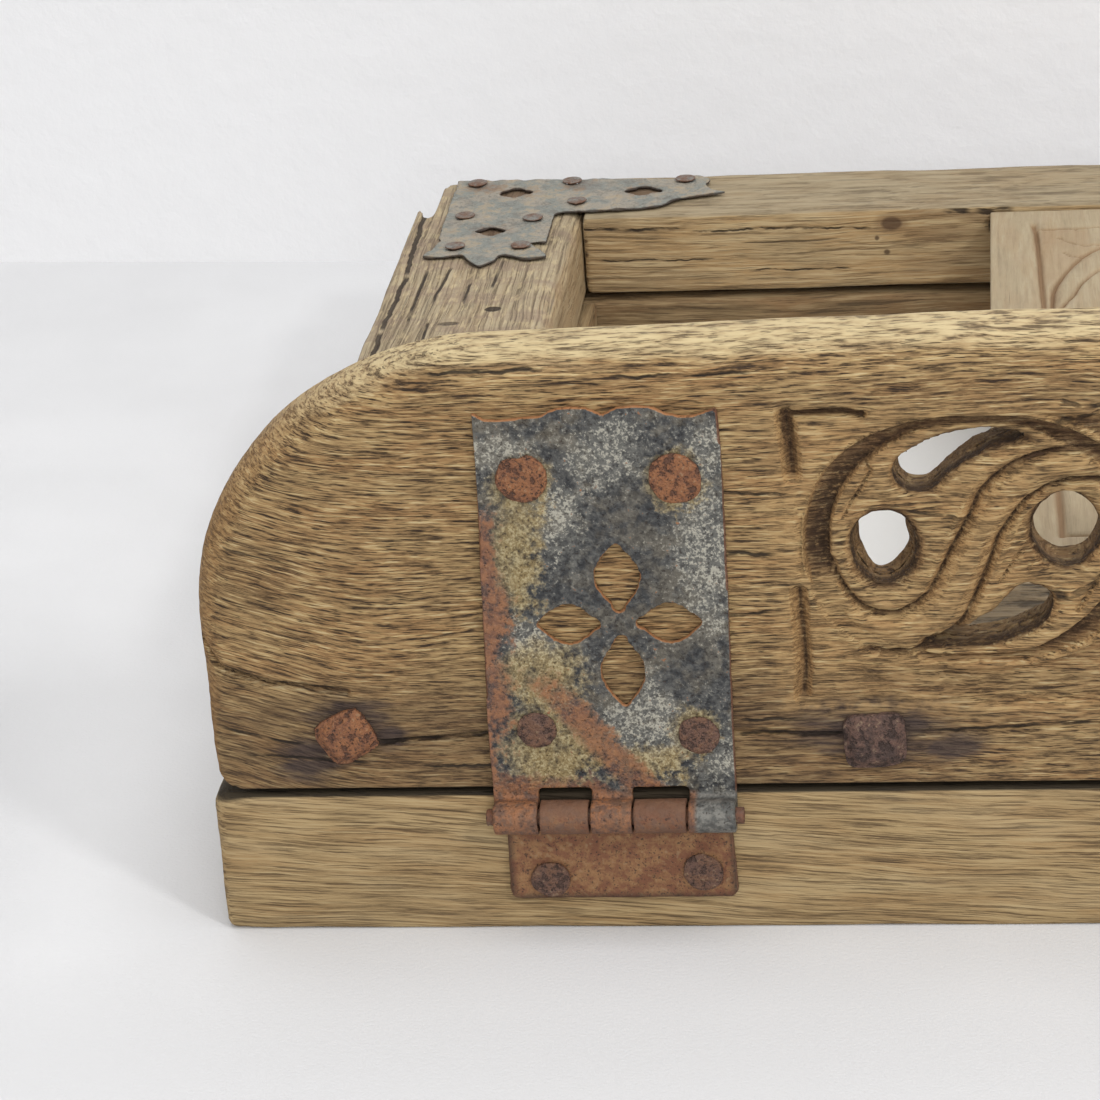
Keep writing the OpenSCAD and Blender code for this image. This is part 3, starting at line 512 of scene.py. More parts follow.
# cuts of the left oval, in mm from its middle
curlCut = [(39.0, 26.6), (33.5, 26.4), (26.3, 26.2), (20.1, 25.7), (15.6, 24.5), (11.0, 22.4), (7.8, 20.3),
           (4.6, 17.6), (1.4, 13.7), (-1.0, 7.8), (-3.9, 1.8), (-7.0, -4.1), (-9.4, -9.6), (-12.5, -15.2),
           (-16.3, -18.7), (-21.0, -21.2), (-26.5, -21.1), (-31.0, -19.0), (-34.6, -14.8), (-37.2, -9.6),
           (-38.8, -4.5)]
sweepCut = [(39.4, -4.0), (39.6, 3.0), (38.4, 9.6), (36.4, 14.2), (33.4, 17.2), (25.3, 17.2), (19.0, 15.3),
            (13.6, 11.5), (9.9, 6.6), (6.1, 0.6), (4.2, -5.4), (2.3, -10.4), (-0.6, -17.5), (-3.5, -23.6),
            (-7.3, -27.6), (-12.9, -31.2), (-18.6, -33.0), (-25.1, -33.2), (-31.0, -31.4)]
cuspCuts = [[(-34.6, 8.2), (-32.7, 12.2), (-29.8, 16.6), (-27.4, 21.0), (-28.2, 23.2), (-31.8, 23.6)],
            [(6.8, -11.8), (10.1, -6.3), (13.8, -1.3), (14.1, -8.9)],
            [(34.6, -8.2), (32.7, -12.2), (29.8, -16.6), (27.4, -21.0)]]
groundLine = [(-46.6, -12.0), (-44.2, -24.6), (-37.6, -33.5), (-28.9, -39.0), (-18.0, -42.0)]
# the square cuts beside the oval, with their half widths
bracketCuts = [([(-49.3, 38.2), (-45.2, 38.3), (-40.7, 38.5), (-34.4, 38.6), (-29.0, 37.9)], 1.5),
               ([(-49.3, 38.4), (-48.9, 33.0), (-48.3, 27.1), (-48.1, 21.0)], 2.8),
               ([(-47.6, -14.2), (-47.4, -21.3), (-47.0, -28.6), (-46.8, -36.9), (-47.6, -45.2)], 2.8)]
# one blade of the middle oval's flower
bladeLine = [(0, 3), (4.4, 8), (7.6, 16), (4.8, 24), (0, 30.5), (-4.8, 24), (-7.6, 16), (-4.4, 8), (0, 3)]
eyeHole = {"at": (-24.2, -2.2), "half": (9.1, 11.3)}
dropHole = {"from": (-14.3, 20.3), "bend": (-3.0, 31.0), "to": (15.2, 29.7), "half": 6.6}


def holeGap(px, pz):
    # distance past the nearer opening's outline, and how far below its middle
    best, below = np.full(len(px), 1e9), np.zeros(len(px))
    for s in (1, -1):
        qx, qz = px * s - eyeHole["at"][0], pz * s - eyeHole["at"][1]
        turn = np.hypot(qx / eyeHole["half"][0], qz / eyeHole["half"][1])
        gap = np.hypot(qx, qz) * (1 - 1 / np.maximum(turn, 1e-6))
        below = np.where(gap < best, -(qz * s), below)
        best = np.minimum(best, gap)
        for t in np.linspace(0, 0.96, 12):
            cx, cz = (a * (1 - t) ** 2 + b * 2 * t * (1 - t) + c * t * t
                      for a, b, c in zip(dropHole["from"], dropHole["bend"], dropHole["to"]))
            qx, qz = px * s - cx, pz * s - cz
            gap = np.hypot(qx, qz) - dropHole["half"] * (1 - t) ** 0.7
            below = np.where(gap < best, -(qz * s), below)
            best = np.minimum(best, gap)
    return best, below


def toLine(px, pz, points):
    # distance from each point to a bent line
    best = np.full(len(px), 1e9)
    for (ax, az), (bx, bz) in zip(points, points[1:]):
        sx, sz = bx - ax, bz - az
        t = np.clip(((px - ax) * sx + (pz - az) * sz) / (sx * sx + sz * sz), 0, 1)
        best = np.minimum(best, np.hypot(px - ax - t * sx, pz - az - t * sz))
    return best


def ease(value, low, high):
    t = np.clip((value - low) / (high - low), 0, 1)
    return t * t * (3 - 2 * t)


def insideOval(px, pz, spec):
    a, b = spec["ovalHalf"]
    power = spec["ovalSquare"]
    turn = ((np.abs(px) / a) ** power + (np.abs(pz) / b) ** power) ** (1 / power)
    return np.hypot(px, pz) * (1 / np.maximum(turn, 1e-6) - 1)


def cutAlong(px, pz, points, half, deep, flank, flankDeep):
    # a V cut along a bent line, with softer flanks beside it
    far = toLine(px, pz, points)
    return np.maximum(deep * np.clip(1 - far / half, 0, 1) ** 0.85, flankDeep * ease(far, flank, 0))


def sideOvalDepth(px, pz, spec):
    # how deep the left oval is carved at a point, measured from the oval's middle
    inside = insideOval(px, pz, spec)
    far = np.hypot(px, pz)
    level = np.abs(px) / np.maximum(far, 1e-6)
    low = ease(-pz, 6, 16) * ease(-px, 12, 24)    # the lower left corner is open ground
    rim = 3.2 + 4.0 * ease(level, 0.3, 0.95)
    first, second = toLine(px, pz, curlCut), toLine(px, pz, sweepCut)
    field = spec["fieldDeep"] + 0.4 * ease(inside, 20, 36)
    for s in (1, -1):
        dished = np.hypot(px - eyeHole["at"][0] * s, (pz - eyeHole["at"][1] * s) * 0.85)
        field = field + 1.1 * np.exp(-np.maximum(dished - 9, 0) / 3.5)
    trough = spec["rimDeep"] * (0.60 + 0.40 * level)
    depth = trough * ease(inside, 0, 1.3) * (0.62 + 0.38 * np.clip(inside / rim, 0, 1)) * (1 - low)
    wall = ease(inside, rim - 0.3, rim + 0.8)
    depth = depth * (1 - wall) + field * wall
    ground = low * ease(toLine(px, pz, groundLine), 0.2, 2.5) * ease(first, 0.5, 2.0)
    depth = np.where(inside < rim + 2, np.maximum(depth, spec["groundDeep"] * ground * (inside > -6)), depth)
    # the S ribbon stands proud and round between its two cuts
    between = first + second
    ribbon = ease(between, 17.5, 14.5) * ease(inside, 3, 7)
    depth = depth * (1 - ribbon) + ribbon * (0.2 + 1.8 * ease(np.minimum(first, second), 3.8, 0.6))
    for path in (curlCut, sweepCut):
        depth = np.maximum(depth, cutAlong(px, pz, path, 1.7, 4.4, 4.6, 2.1) * ease(inside, -5.5, -3.5))
    for path in cuspCuts:
        depth = np.maximum(depth, cutAlong(px, pz, path, 1.2, 3.0, 3.4, 1.7))
    return depth


def middleOvalDepth(px, pz, spec):
    inside = insideOval(px, pz, spec)
    rim = 4.0
    depth = spec["rimDeep"] * 0.7 * ease(inside, 0, 1.3)
    wall = ease(inside, rim - 0.3, rim + 0.8)
    depth = depth * (1 - wall) + spec["fieldDeep"] * wall
    for qx, qz in ((px, pz), (pz, -px), (-px, -pz), (-pz, px)):
        groove = np.clip(1 - np.abs(toLine(qx, qz, bladeLine) - 2.6) / 1.7, 0, 1)
        depth = np.maximum(depth, 2.4 * groove * ease(inside, rim, rim + 1.5))
    return depth


def boardDepth(x, z, spec):
    up, apart = z - spec["ovalUp"], spec["ovalApart"]
    # spandrels: the ground between the ovals falls away towards them
    outside = np.maximum(-np.max([insideOval(x - middle, up, spec) for middle in (-apart, 0, apart)], 0), 0)
    inFrame = ease(np.abs(x), 141.5, 139.5) * ease(np.abs(up + 6), 43.6, 41.8)
    between = ease(np.abs(x), 108, 100)
    sunk = inFrame * (0.2 + 1.9 * between * ease(outside, 0.4, 1.6) + 0.6 * np.exp(-outside / 5))
    low = inFrame * ease(up, -16, -24) * ease(outside, 0.3, 2.0) * 1.3
    depth = np.where(outside > 0, np.maximum(sunk, low), 0)
    near = np.abs(up) < 52
    for side in (-1, 1):
        px = (x + apart) if side < 0 else (apart - x)
        area = near & (np.abs(px) < 52)
        own = area & (outside <= 0)
        depth[own] = sideOvalDepth(px[own], up[own], spec)
        past = area & (outside > 0)
        for path in (sweepCut, curlCut):
            cut = cutAlong(px[past], up[past], path, 1.5, 3.4, 3.5, 1.4)
            depth[past] = np.maximum(depth[past], cut * ease(outside[past], 5.5, 4.0) * (px[past] < 0))
        for path, wide in bracketCuts:
            cut = cutAlong(px[area], up[area], path, wide, 4.2, wide + 1.8, 1.0)
            depth[area] = np.maximum(depth[area], cut)
    area = near & (np.abs(x) < spec["ovalHalf"][0]) & (insideOval(x, up, spec) > 0)
    depth[area] = middleOvalDepth(x[area], up[area], spec)
    return depth


def boardEdge(x, z, spec):
    # distance in from the board's outline and the way out of it
    half, high = spec["halfWidth"], spec["height"]
    flat = half - spec["cornerAcross"]
    a, b = spec["cornerAcross"], spec["cornerUp"]
    cx, cz = np.abs(x) - flat, z - (high - b)
    corner = (cx > 0) & (cz > 0)
    turn = np.hypot(cx / a, cz / b)
    gx, gz = cx / a ** 2, cz / b ** 2
    length = np.maximum(np.hypot(gx, gz), 1e-9)
    inCorner = (1 - turn) * turn / np.maximum(length, 1e-9)
    top = high + spec["crown"] * np.clip(1 - (x / flat) ** 2, 0, 1) - z
    side = half - np.abs(x)
    edge = np.where(corner, inCorner, np.minimum(top, side))
    outX = np.where(corner, gx / length * np.sign(x), np.where(side < top, np.sign(x), 0))
    outZ = np.where(corner, gz / length, np.where(side < top, 0, 1))
    return edge, outX, outZ


def roundOver(across, down, radius):
    # how far each point moves both ways to lie on a worn edge
    far = np.hypot(across, down)
    pull = (across > 0) & (down > 0) & (far > radius)
    share = np.where(pull, 1 - radius / np.maximum(far, 1e-6), 0)
    return np.stack([across * share, down * share])


def carveBoard(spec):
    piece, p, n = takeCopy("tracery_front_board", "carved_oak_front_board", spec["grid"])
    x, z = p[:, 0].copy(), p[:, 2] - boardFoot
    drift = layeredNoise(p, (0.02, 0.02, 0.05), 3, 5)
    edge, outX, outZ = boardEdge(x, z, spec)
    front = (p[:, 1] < 3.3) & (edge > 2.0) & (z > 1.5)
    field = front & (np.abs(x) < spec["fieldHalf"]) & (z > spec["fieldLow"]) & (z < spec["fieldHigh"])
    p[field, 1] = 0
    relax(piece, p, field, 6)
    x, z = p[:, 0].copy(), p[:, 2] - boardFoot
    depth = boardDepth(x, z, spec)
    stipple = layeredNoise(p, (0.45, 0.8, 0.45), 2, 9)
    carved = ease(depth, 0.9, 1.5) * ease(depth, 3.6, 2.6)
    hewn = ease(depth, 0.1, 0.6) * layeredNoise(p, (0.07, 0.3, 0.34), 2, 3)
    depth = np.maximum(depth + carved * stipple * 0.5 + hewn * 0.6, 0)
    p[:, 1] = np.where(front, depth, np.maximum(p[:, 1], np.minimum(depth, 12)))
    # openings are ragged, worn round in front and splayed or tapering behind
    up = z - spec["ovalUp"]
    for side in (-1, 1):
        px = (x + spec["ovalApart"]) if side < 0 else (spec["ovalApart"] - x)
        area = np.flatnonzero((np.abs(px) < spec["ovalHalf"][0]) & (np.abs(up) < spec["ovalHalf"][1]))
        gap, below = holeGap(px[area], up[area])
        splay = 7.5 * np.clip(1 - np.maximum(gap, 0) / 5.0, 0, 1) * ease(gap, 5.5, 4.5)
        splay = splay * (0.25 + 0.75 * ease(below, -4, 5))
        p[area, 1] = np.minimum(p[area, 1], np.maximum(spec["thick"] - splay, 9.0))
        p[area, 1] = np.where(p[area, 1] < 9, p[area, 1] + 2.0 * np.exp(-np.maximum(gap, 0) / 1.1), p[area, 1])
        rag = np.exp(-np.abs(gap) / 1.5) * layeredNoise(p[area], (0.14, 0.06, 0.14), 2, 21)
        p[area, 0] -= n[area, 0] * rag * 1.1
        p[area, 2] -= n[area, 2] * rag * 1.1
        qx, qz = px[area] - eyeHole["at"][0], up[area] - eyeHole["at"][1]
        # the eye narrows behind, except low down, and most on its right
        angle = np.degrees(np.arctan2(qz, qx)) % 360
        narrow = 1.9 - 2.3 * np.exp(-((angle - 258) / 24) ** 2)
        narrow = narrow + 1.2 * np.exp(-(((angle + 170) % 360 - 180) / 40) ** 2)
        reach = np.hypot(qx, qz)
        pull = narrow * ease(p[area, 1], 3, 17) * np.exp(-np.maximum(gap, 0) / 3.0)
        pull = pull * (reach < 18) / np.maximum(reach, 1e-6)
        p[area, 0] -= qx * pull * (1 if side < 0 else -1)
        p[area, 2] -= qz * pull
    # outline worn round, most at the top front
    for fromBack, base in ((False, spec["frontWear"]), (True, spec["backWear"])):
        wear = base * (1 + 0.30 * drift) * (0.36 + 0.39 * ease(z, 4, 45) + 0.25 * ease(z, 20, 90))
        deep = spec["thick"] - p[:, 1] if fromBack else p[:, 1]
        move, sink = roundOver(wear - edge, wear - deep, wear) * (edge > -1)
        p[:, 0] -= outX * move
        p[:, 2] -= outZ * move
        p[:, 1] += -sink if fromBack else sink
        edge = edge + move
    foot = spec["footWear"] * (1 + 0.5 * drift)
    lift, sink = roundOver(foot - (p[:, 2] - boardFoot), foot - p[:, 1], foot)
    p[:, 2] += lift
    p[:, 1] += sink
    # the bottom corners are broken off at a slant
    past = (spec["halfWidth"] - np.abs(p[:, 0])) * 1.2 + (p[:, 2] - boardFoot) * 0.95
    cut = np.maximum(7.4 - past * (1 + 0.15 * drift), 0)
    p[:, 0] -= np.sign(p[:, 0]) * cut * 0.62
    p[:, 2] += cut * 0.12
    # the lip over the parting gap
    lip = 0.15 * ease(p[:, 1], 13, 3) * ease(p[:, 2] - boardFoot, 7, 0) * (1 + 0.8 * drift)
    p[:, 2] += np.maximum(lip, 0)
    wave = layeredNoise(p, (0.012, 0.05, 0.035), 2, 1) * 0.7 + layeredNoise(p, (0.03, 0.3, 0.28), 2, 2) * 0.22
    wave = wave * (0.25 + 0.75 * ease(p[:, 2] - boardFoot, 1, 9))
    p -= n * np.abs(wave)[:, None] * 0.9
    p[:, 2] -= 0.85 * ease(p[:, 2] - boardFoot, 6, 1.5)
    for path, half, deepest in spec["splits"]:
        cut = np.clip(1 - toLine(p[:, 0], p[:, 2], path) / half, 0, 1)
        p[:, 1] += np.where(p[:, 1] < 6, cut * deepest, 0)
    return piece, p


def carvedField(f):
    return abs(f.x).step(150.0, 146.0) * f.z.step(66.0, 70.0) * f.z.step(160.0, 157.0)


def boardMarks(f, colour, height, rough, tone):
    # iron-black stains round the big nails, shakes, darker colour deeper in the carving, a painted highlight on its
    # ridges, a painted shadow under the ovals' tops and painted shade under the board
    spec = boardSpec
    patchy = f.noise(f.point, (0.07, 0.3, 0.32), 4.0, 0.65)
    lowBand = f.z.step(88.0, 66.0) * f.d.step(16.0, 8.0) * (1 - f.x.step(-108.0, -88.0) * f.x.step(70.0, 50.0) * 0.7)
    colour = f.mix(lowBand * (patchy * 1.1 - 0.05).clamped(), colour, rgb(86, 66, 47))
    stain = f.spots(f.x, f.z, spec["stains"], 0.85)
    stain = (stain * 1.5 + (patchy - 0.5) * 2.2 - 0.35).clamped() * stain.step(0.0, 0.25)
    colour = f.mix(stain * 0.82, colour, spec["stain"])
    shakes = manyCracks(f, f.x, f.z, spec["shakes"], 1.0) * f.d.step(9.0, 6.0)
    colour = f.mix(shakes * 0.92, colour, rgb(34, 25, 18))
    colour = f.mix(abs(f.nx).step(0.25, 0.7) * 0.45, colour, rgb(156, 118, 74))
    carving = carvedField(f)
    carveBlotch = f.noise(f.point, (0.22, 0.3, 0.3))
    rubble = f.noise(f.point, (0.5, 0.9, 0.9), 3.0, 0.65)
    inCut = f.d.step(9.5, 6.5) * carving
    recess = f.d.step(1.9, 4.2) * inCut
    # painted shadow: darker in the cuts under the top of the ovals
    topRimShadow = f.z.step(132.0, 150.0) * f.d.step(1.6, 2.8) * inCut
    # painted highlight: the carving's shallow ridges paler
    colour = f.mix(carving * f.d.step(2.6, 0.8) * carveBlotch.step(0.35, 0.6) * 0.45, colour, rgb(170, 137, 92))
    colour = f.mix((topRimShadow * (rubble * 1.6 - 0.1)).clamped(), colour, rgb(62, 44, 28))
    # darker deeper in the cuts and on the openings' walls
    colour = f.mix((recess * (carveBlotch * 0.7 + rubble * 1.2 - 0.30)).clamped(), colour, rgb(84, 59, 38))
    colour = f.mix(f.d.step(3.2, 4.4) * inCut * rubble.step(0.30, 0.55) * 0.85, colour, rgb(50, 35, 22))
    colour = f.mix(f.d.step(3.6, 9.0) * carving * 0.30, colour, rgb(104, 80, 52))
    # painted shade: the board's underside near black in the parting gap
    under = f.nz.step(-0.5, -0.9) * f.z.step(60.0, 56.0)
    colour = f.mix(under * (0.8 - f.d.step(5.0, 20.0) * 0.35), colour, rgb(34, 26, 18))
    return colour, height - shakes * 1.4 + recess * rubble * 0.8, rough


def endLean(f):
    # the grain falls away at the left end
    return f.x.step(-235.0, -318.0) ** 2.0 * -14.0 + f.x.step(235.0, 318.0) ** 2.0 * -12.0


board, boardPoints = carveBoard(boardSpec)
putBack(board, boardPoints, "tracery_front_board",
        oak("carvedOakFront", "front", "x", (0.085, 1.05), endLean, boardMarks, carvedField, 1.15, 1.2))
print("front board carved")

# rails

# cracks of the rails: points, width and softness
baseHairs = [([(-300, 33), (-285, 31.5)], 0.12, 0.3), ([(-298, 27), (-262, 25)], 0.1, 0.3),
             ([(-292, 13), (-250, 10)], 0.1, 0.3), ([(-262, 35), (-225, 33.5)], 0.1, 0.3),
             ([(-160, 30), (-118, 28)], 0.12, 0.3), ([(-150, 16), (-90, 14)], 0.12, 0.3),
             ([(-110, 36), (-60, 35)], 0.1, 0.3), ([(-40, 20), (30, 18)], 0.12, 0.3),
             ([(60, 30), (130, 27)], 0.12, 0.3), ([(160, 22), (240, 18)], 0.12, 0.3),
             ([(250, 33), (300, 30)], 0.12, 0.3)]
sideRift = [(200, -298.6), (275, -298.6), (330, -297.6), (408, -300.4)]
sideSplits = [([(296, -284.6), (338, -282)], 0.25, 0.5), ([(314, -265), (345, -264)], 0.28, 0.5),
              ([(282, -291), (336, -290.4)], 0.25, 0.5), ([(300, -273), (322, -273)], 0.2, 0.5),
              ([(258, -283), (284, -283.6)], 0.2, 0.5), ([(200, -285), (238, -284)], 0.2, 0.4),
              ([(120, -270), (170, -268)], 0.2, 0.4), ([(60, -282), (110, -283)], 0.2, 0.4)]
backSplits = [([(-247, 72.6), (-225, 72.2), (-200, 71.2)], 0.3, 0.4),
              ([(-200, 70.5), (-160, 70.8), (-132, 70)], 0.15, 0.4),
              ([(-108, 76.4), (-96, 75), (-80, 75.4)], 0.8, 0.5), ([(-118, 78), (-100, 76.8)], 0.4, 0.4),
              ([(-235, 60), (-190, 59.4)], 0.12, 0.3), ([(-180, 55), (-140, 54.4)], 0.12, 0.3),
              ([(100, 74), (150, 73)], 0.3, 0.4), ([(170, 66), (230, 65)], 0.2, 0.4)]
backDots = [((-127.5, 60.5), (1.6, 1.4)), ((-131, 66), (1.2, 1.2)), ((-126.8, 46.5), (1.8, 1.6)),
            ((-239.7, 62.6), (2.2, 2.0)), ((-240.4, 52), (2.4, 2.6)), ((-239.4, 67.8), (2.0, 1.2))]


def baseFrontMarks(f, colour, height, rough, tone):
    # pale patches, a few hair shakes, and painted shade in the parting gap and behind the hinge's slots
    pale = f.noise(f.vector(f.x, f.z + f.x * 0.06, 0.0), (0.014, 0.09, 1), 3.0, 0.55)
    colour = f.mix(pale.step(0.48, 0.68) * 0.35, colour, rgb(174, 154, 118))
    colour = f.mix(manyCracks(f, f.x, f.z, baseHairs, 40.0) * 0.45, colour, tone["shade"])
    # painted shade: near black along the top of the gap and behind the hinge slots
    gap = f.z.step(43.3, 43.8).most(f.nz.step(0.35, 0.75) * f.z.step(40.5, 41.5))
    gap = gap.most(f.z.step(40.0, 40.8) * abs(abs(f.x) - 194.0).step(27.0, 25.5))
    deep = f.d.step(5.0, 24.0)
    colour = f.mix(gap * (0.92 - deep * 0.42), colour, f.mix(deep, rgb(26, 21, 16), rgb(46, 34, 23)))
    return colour, height, rough


def strapStain(f, x):
    # rust on the wood under the straps' pierced diamonds
    stain = f.spots(x, f.d, [((-267, 412), (11, 9)), ((-271.8, 370), (10, 8)), ((-218.7, 410), (11, 9))], 0.3)
    return stain * f.z.step(70.0, 74.0) * 0.75


def sideRailMarks(f, colour, height, rough, tone):
    # long shakes, worm holes and grey-violet bands across the top face
    top, x = f.z.step(70.0, 74.0), -abs(f.x)
    band = f.noise(f.vector(f.x, f.d, f.z), (0.03, 0.09, 0.05))
    colour = f.mix(top * band.step(0.44, 0.62) * 0.55, colour, rgb(134, 114, 98))
    straw = f.noise(f.vector(f.x, f.d * 0.12, f.z), (0.5, 1, 0.3), 2.0)
    colour = f.mix(top * straw.step(0.52, 0.66) * 0.5, colour, rgb(190, 171, 134))
    rift = f.line(f.d, x + (band - 0.5) * 3.0, sideRift, 0.55, 0.5)
    splits = manyCracks(f, f.d, x, sideSplits, 60.0, 0.3).most(rift) * top
    holes = f.patch(x, f.d, (-262, 294), (3.2, 2.6), 0.25).most(f.patch(x, f.d, (-276, 281), (4.4, 2.0), 0.4) * 0.75)
    holes = holes.most(f.spots(x, f.d, [((-283, 240), (1.4, 1.4)), ((-268, 180), (1.3, 1.3))], 0.3)) * top
    colour = f.mix(splits * 0.9, colour, rgb(44, 34, 26))
    colour = f.mix(holes * 0.9, colour, rgb(40, 28, 18))
    inward = f.nx * (1 - (f.x > 0.0) * 2.0)
    colour = f.mix(inward.step(0.5, 0.9) * 0.4, colour, rgb(170, 142, 102))
    colour = f.mix(strapStain(f, x), colour, rgb(84, 60, 44))
    return colour, height - splits * 1.4 - holes * 1.5, rough


def backRailMarks(f, colour, height, rough, tone):
    # the front face is warmer, with a knot, nail rust and a split under its top edge
    face, brown = f.ny.step(-0.5, -0.85), rgb(112, 84, 56)
    colour = f.mix(face, colour, (1.22, 1.12, 0.96, 1), "MULTIPLY")
    colour = f.mix(face * f.patch(f.x, f.z, (-125.5, 71.5), (7.5, 5.0), 0.4) * 0.45, colour, brown)
    colour = f.mix(face * f.patch(f.x, f.z, (-125.5, 71.5), (4.6, 3.2), 0.35) * 0.75, colour, rgb(74, 52, 38))
    colour = f.mix(face * f.spots(f.x, f.z, backDots, 0.6) * 0.8, colour, rgb(64, 44, 32))
    rusty = f.x.step(-126.0, -118.0) * f.x.step(-84.0, -92.0) * f.noise(f.point, (0.02, 0.1, 0.25)).step(0.35, 0.6)
    colour = f.mix(face * rusty * 0.45, colour, brown)
    splits = manyCracks(f, f.x, f.z, backSplits, 80.0) * face
    colour = f.mix(splits * 0.9, colour, rgb(36, 26, 18))
    colour = f.mix(f.z.step(74.0, 76.0) * 0.8, colour, (0.80, 0.79, 0.76, 1), "MULTIPLY")
    colour = f.mix(strapStain(f, -abs(f.x)), colour, rgb(84, 60, 44))
    return colour, height - splits * 1.2, rough


def slightLean(f):
    return f.x * 0.06


hiddenOak = {"tones": "inner", "lens": (0.03, 0.7), "grain": 0.7, "groove": 0.7}
boxOak = {"tones": "inner", "along": "y", "lens": (0.04, 0.7), "grain": 0.6, "groove": 0.6}
sideOak = {"tones": "rail", "along": "y", "wear": 3.2, "lens": (0.02, 0.8), "grain": 0.9, "groove": 0.9,
           "marks": sideRailMarks}
railSpec = {
    "base_front_rail": {"tones": "base", "along": "x", "wear": 1.3, "lens": (0.03, 1.05), "grain": 1.0, "groove": 0.7,
                        "lean": slightLean, "marks": baseFrontMarks},
    "base_back_rail": {**hiddenOak, "along": "x", "wear": 2.6},
    "base_left_rail": {**hiddenOak, "along": "y", "wear": 2.4},
    "base_right_rail": {**hiddenOak, "along": "y", "wear": 2.4},
    "lid_left_rail": sideOak,
    "lid_right_rail": sideOak,
    # darker tones: painted shade for this rail
    "lid_front_rail": {"tones": "grey", "along": "x", "wear": 1.6, "lens": (0.008, 0.30), "grain": 1.3, "groove": 2.2},
    "lid_back_rail": {"tones": "rail", "along": "x", "wear": 2.4, "lens": (0.03, 0.8), "grain": 0.65, "groove": 0.8,
                      "marks": backRailMarks},
    "coin_box_left_wall": {**boxOak, "wear": 1.0},
    "coin_box_right_wall": {**boxOak, "wear": 1.0},
    "coin_box_bottom": {**boxOak, "wear": 0.8},
}


def makeRail(node, spec, seed):
    piece, p, n = takeCopy(node, "worn_" + node, 1.6)
    low, high = nodeBox(node)
    drift = layeredNoise(p, 0.03, 3, seed)
    radius = spec["wear"] * (1 + 0.6 * np.clip(drift, -0.9, 1.2))
    if node == "base_front_rail":
        # the ends are rounder, most at the top, and the top's front lip is lower
        atEnd = ease(np.abs(p[:, 0]), high[0] - 16, high[0] - 2)
        radius = radius * (1 + atEnd * (1.4 + 1.6 * ease(p[:, 2], 20, 36)))
        p[:, 2] -= 0.15 * ease(p[:, 1], 14, 4) * ease(p[:, 2], 36, 44) * (1 + 0.7 * drift)
    if node in ("lid_left_rail", "lid_right_rail"):
        inner, outer = sorted(np.abs([low[0], high[0]]))
        radius = radius * (1 + 0.9 * ease(np.abs(p[:, 0]), outer - 8, inner + 8) * ease(p[:, 2], 60, 70))
    roundBox(p, low, high, radius)
    along, across = [0.012, 0.06, 0.06], [0.03, 0.35, 0.35]
    if spec["along"] == "y":
        along, across = [0.06, 0.012, 0.06], [0.35, 0.03, 0.35]
    wave = np.abs(layeredNoise(p, along, 2, seed + 30)) * 0.8 + np.abs(layeredNoise(p, across, 2, seed + 50)) * 0.25
    if node == "base_front_rail":
        wave = wave * (1 - 0.7 * ease(p[:, 2], 37, 42))
    p -= n * wave[:, None]
    material = oak("oak_" + node, spec["tones"], spec["along"], spec["lens"], spec.get("lean"), spec.get("marks"),
                   None, spec["groove"], spec["grain"])
    putBack(piece, p, node, material)


for seed, (node, spec) in enumerate(railSpec.items(), 11):
    makeRail(node, spec, seed)
print("rails worn")

# lid panel

archCut = [(-70.8, 262.0), (-68.9, 280.0), (-68.3, 294.3), (-68.0, 302.4), (-66.7, 310.4), (-64.1, 319.9),
           (-61.0, 329.4), (-57.9, 336.2), (-54.8, 341.7), (-51.1, 345.7), (-40.0, 352.0), (-22.0, 357.6),
           (0.0, 359.6)]
panelSpec = {
    "grid": 0.9, "fieldHalf": 76, "fieldNear": 56, "fieldFar": 374,
    # cuts of the left half as across and depth, then half width, depth, and the flanks' width and depth
    "cuts": [
        ([(-73.9, 371.0), (-73.0, 362.0), (-72.5, 347.4), (-72.0, 320.0), (-71.5, 298.6), (-71.1, 285.2),
          (-70.6, 240.0), (-69.4, 150.0), (-68.4, 100.0)], 1.5, 2.6, 3.0, 1.0),
        ([(-73.0, 366.2), (-59.2, 366.3), (-40.0, 366.6), (0.0, 366.8)], 0.9, 1.8, 2.0, 0.6),
        ([(-68.4, 100.0), (-40.0, 100.0), (0.0, 100.0)], 1.1, 2.2, 2.4, 0.8),
        (archCut, 1.3, 2.6, 3.2, 1.3),
        ([(-66.4, 284.8), (-63.6, 292.6), (-61.1, 299.1), (-58.5, 309.8), (-55.5, 316.4), (-51.9, 323.1),
          (-40.0, 333.0), (-22.0, 341.0), (0.0, 343.6)], 0.9, 2.2, 2.4, 0.8),
        ([(-63.7, 343.1), (-61.3, 338.8), (-58.4, 337.6), (-56.6, 340.4)], 0.9, 2.0, 2.4, 1.2),
        ([(-65.4, 358.4), (-62.5, 354.6), (-59.6, 351.4), (-55.7, 348.9), (-46.0, 348.9)], 0.8, 1.8, 2.6, 1.0),
        ([(-59.0, 366.0), (-59.1, 352.1)], 0.6, 1.4, 1.4, 0.4),
        ([(-71.4, 353.1), (-68.0, 354.0)], 0.6, 1.2, 1.2, 0.4),
        ([(-71.8, 337.6), (-67.4, 337.8)], 0.6, 1.3, 1.2, 0.4),
        ([(-71.8, 318.7), (-68.9, 318.9)], 0.6, 1.3, 1.2, 0.4),
        ([(-59.8, 316.1), (-56.4, 316.2)], 0.5, 1.0, 1.2, 0.3),
    ],
}


def panelDepth(x, d, spec):
    depth, half = np.zeros(len(x)), -np.abs(x)
    for cut in spec["cuts"]:
        depth = np.maximum(depth, cutAlong(half, d, *cut))
    # the ground outside the arch
    corner = ease(-half, 52, 56) * ease(d, 300, 320) * ease(np.hypot(x, d - 290), 70, 72)
    corner = corner * ease(-half, 72, 70.5) * ease(d, 366, 364.5)
    return np.maximum(depth, 0.9 * corner * ease(toLine(half, d, archCut), 0, 1.5))


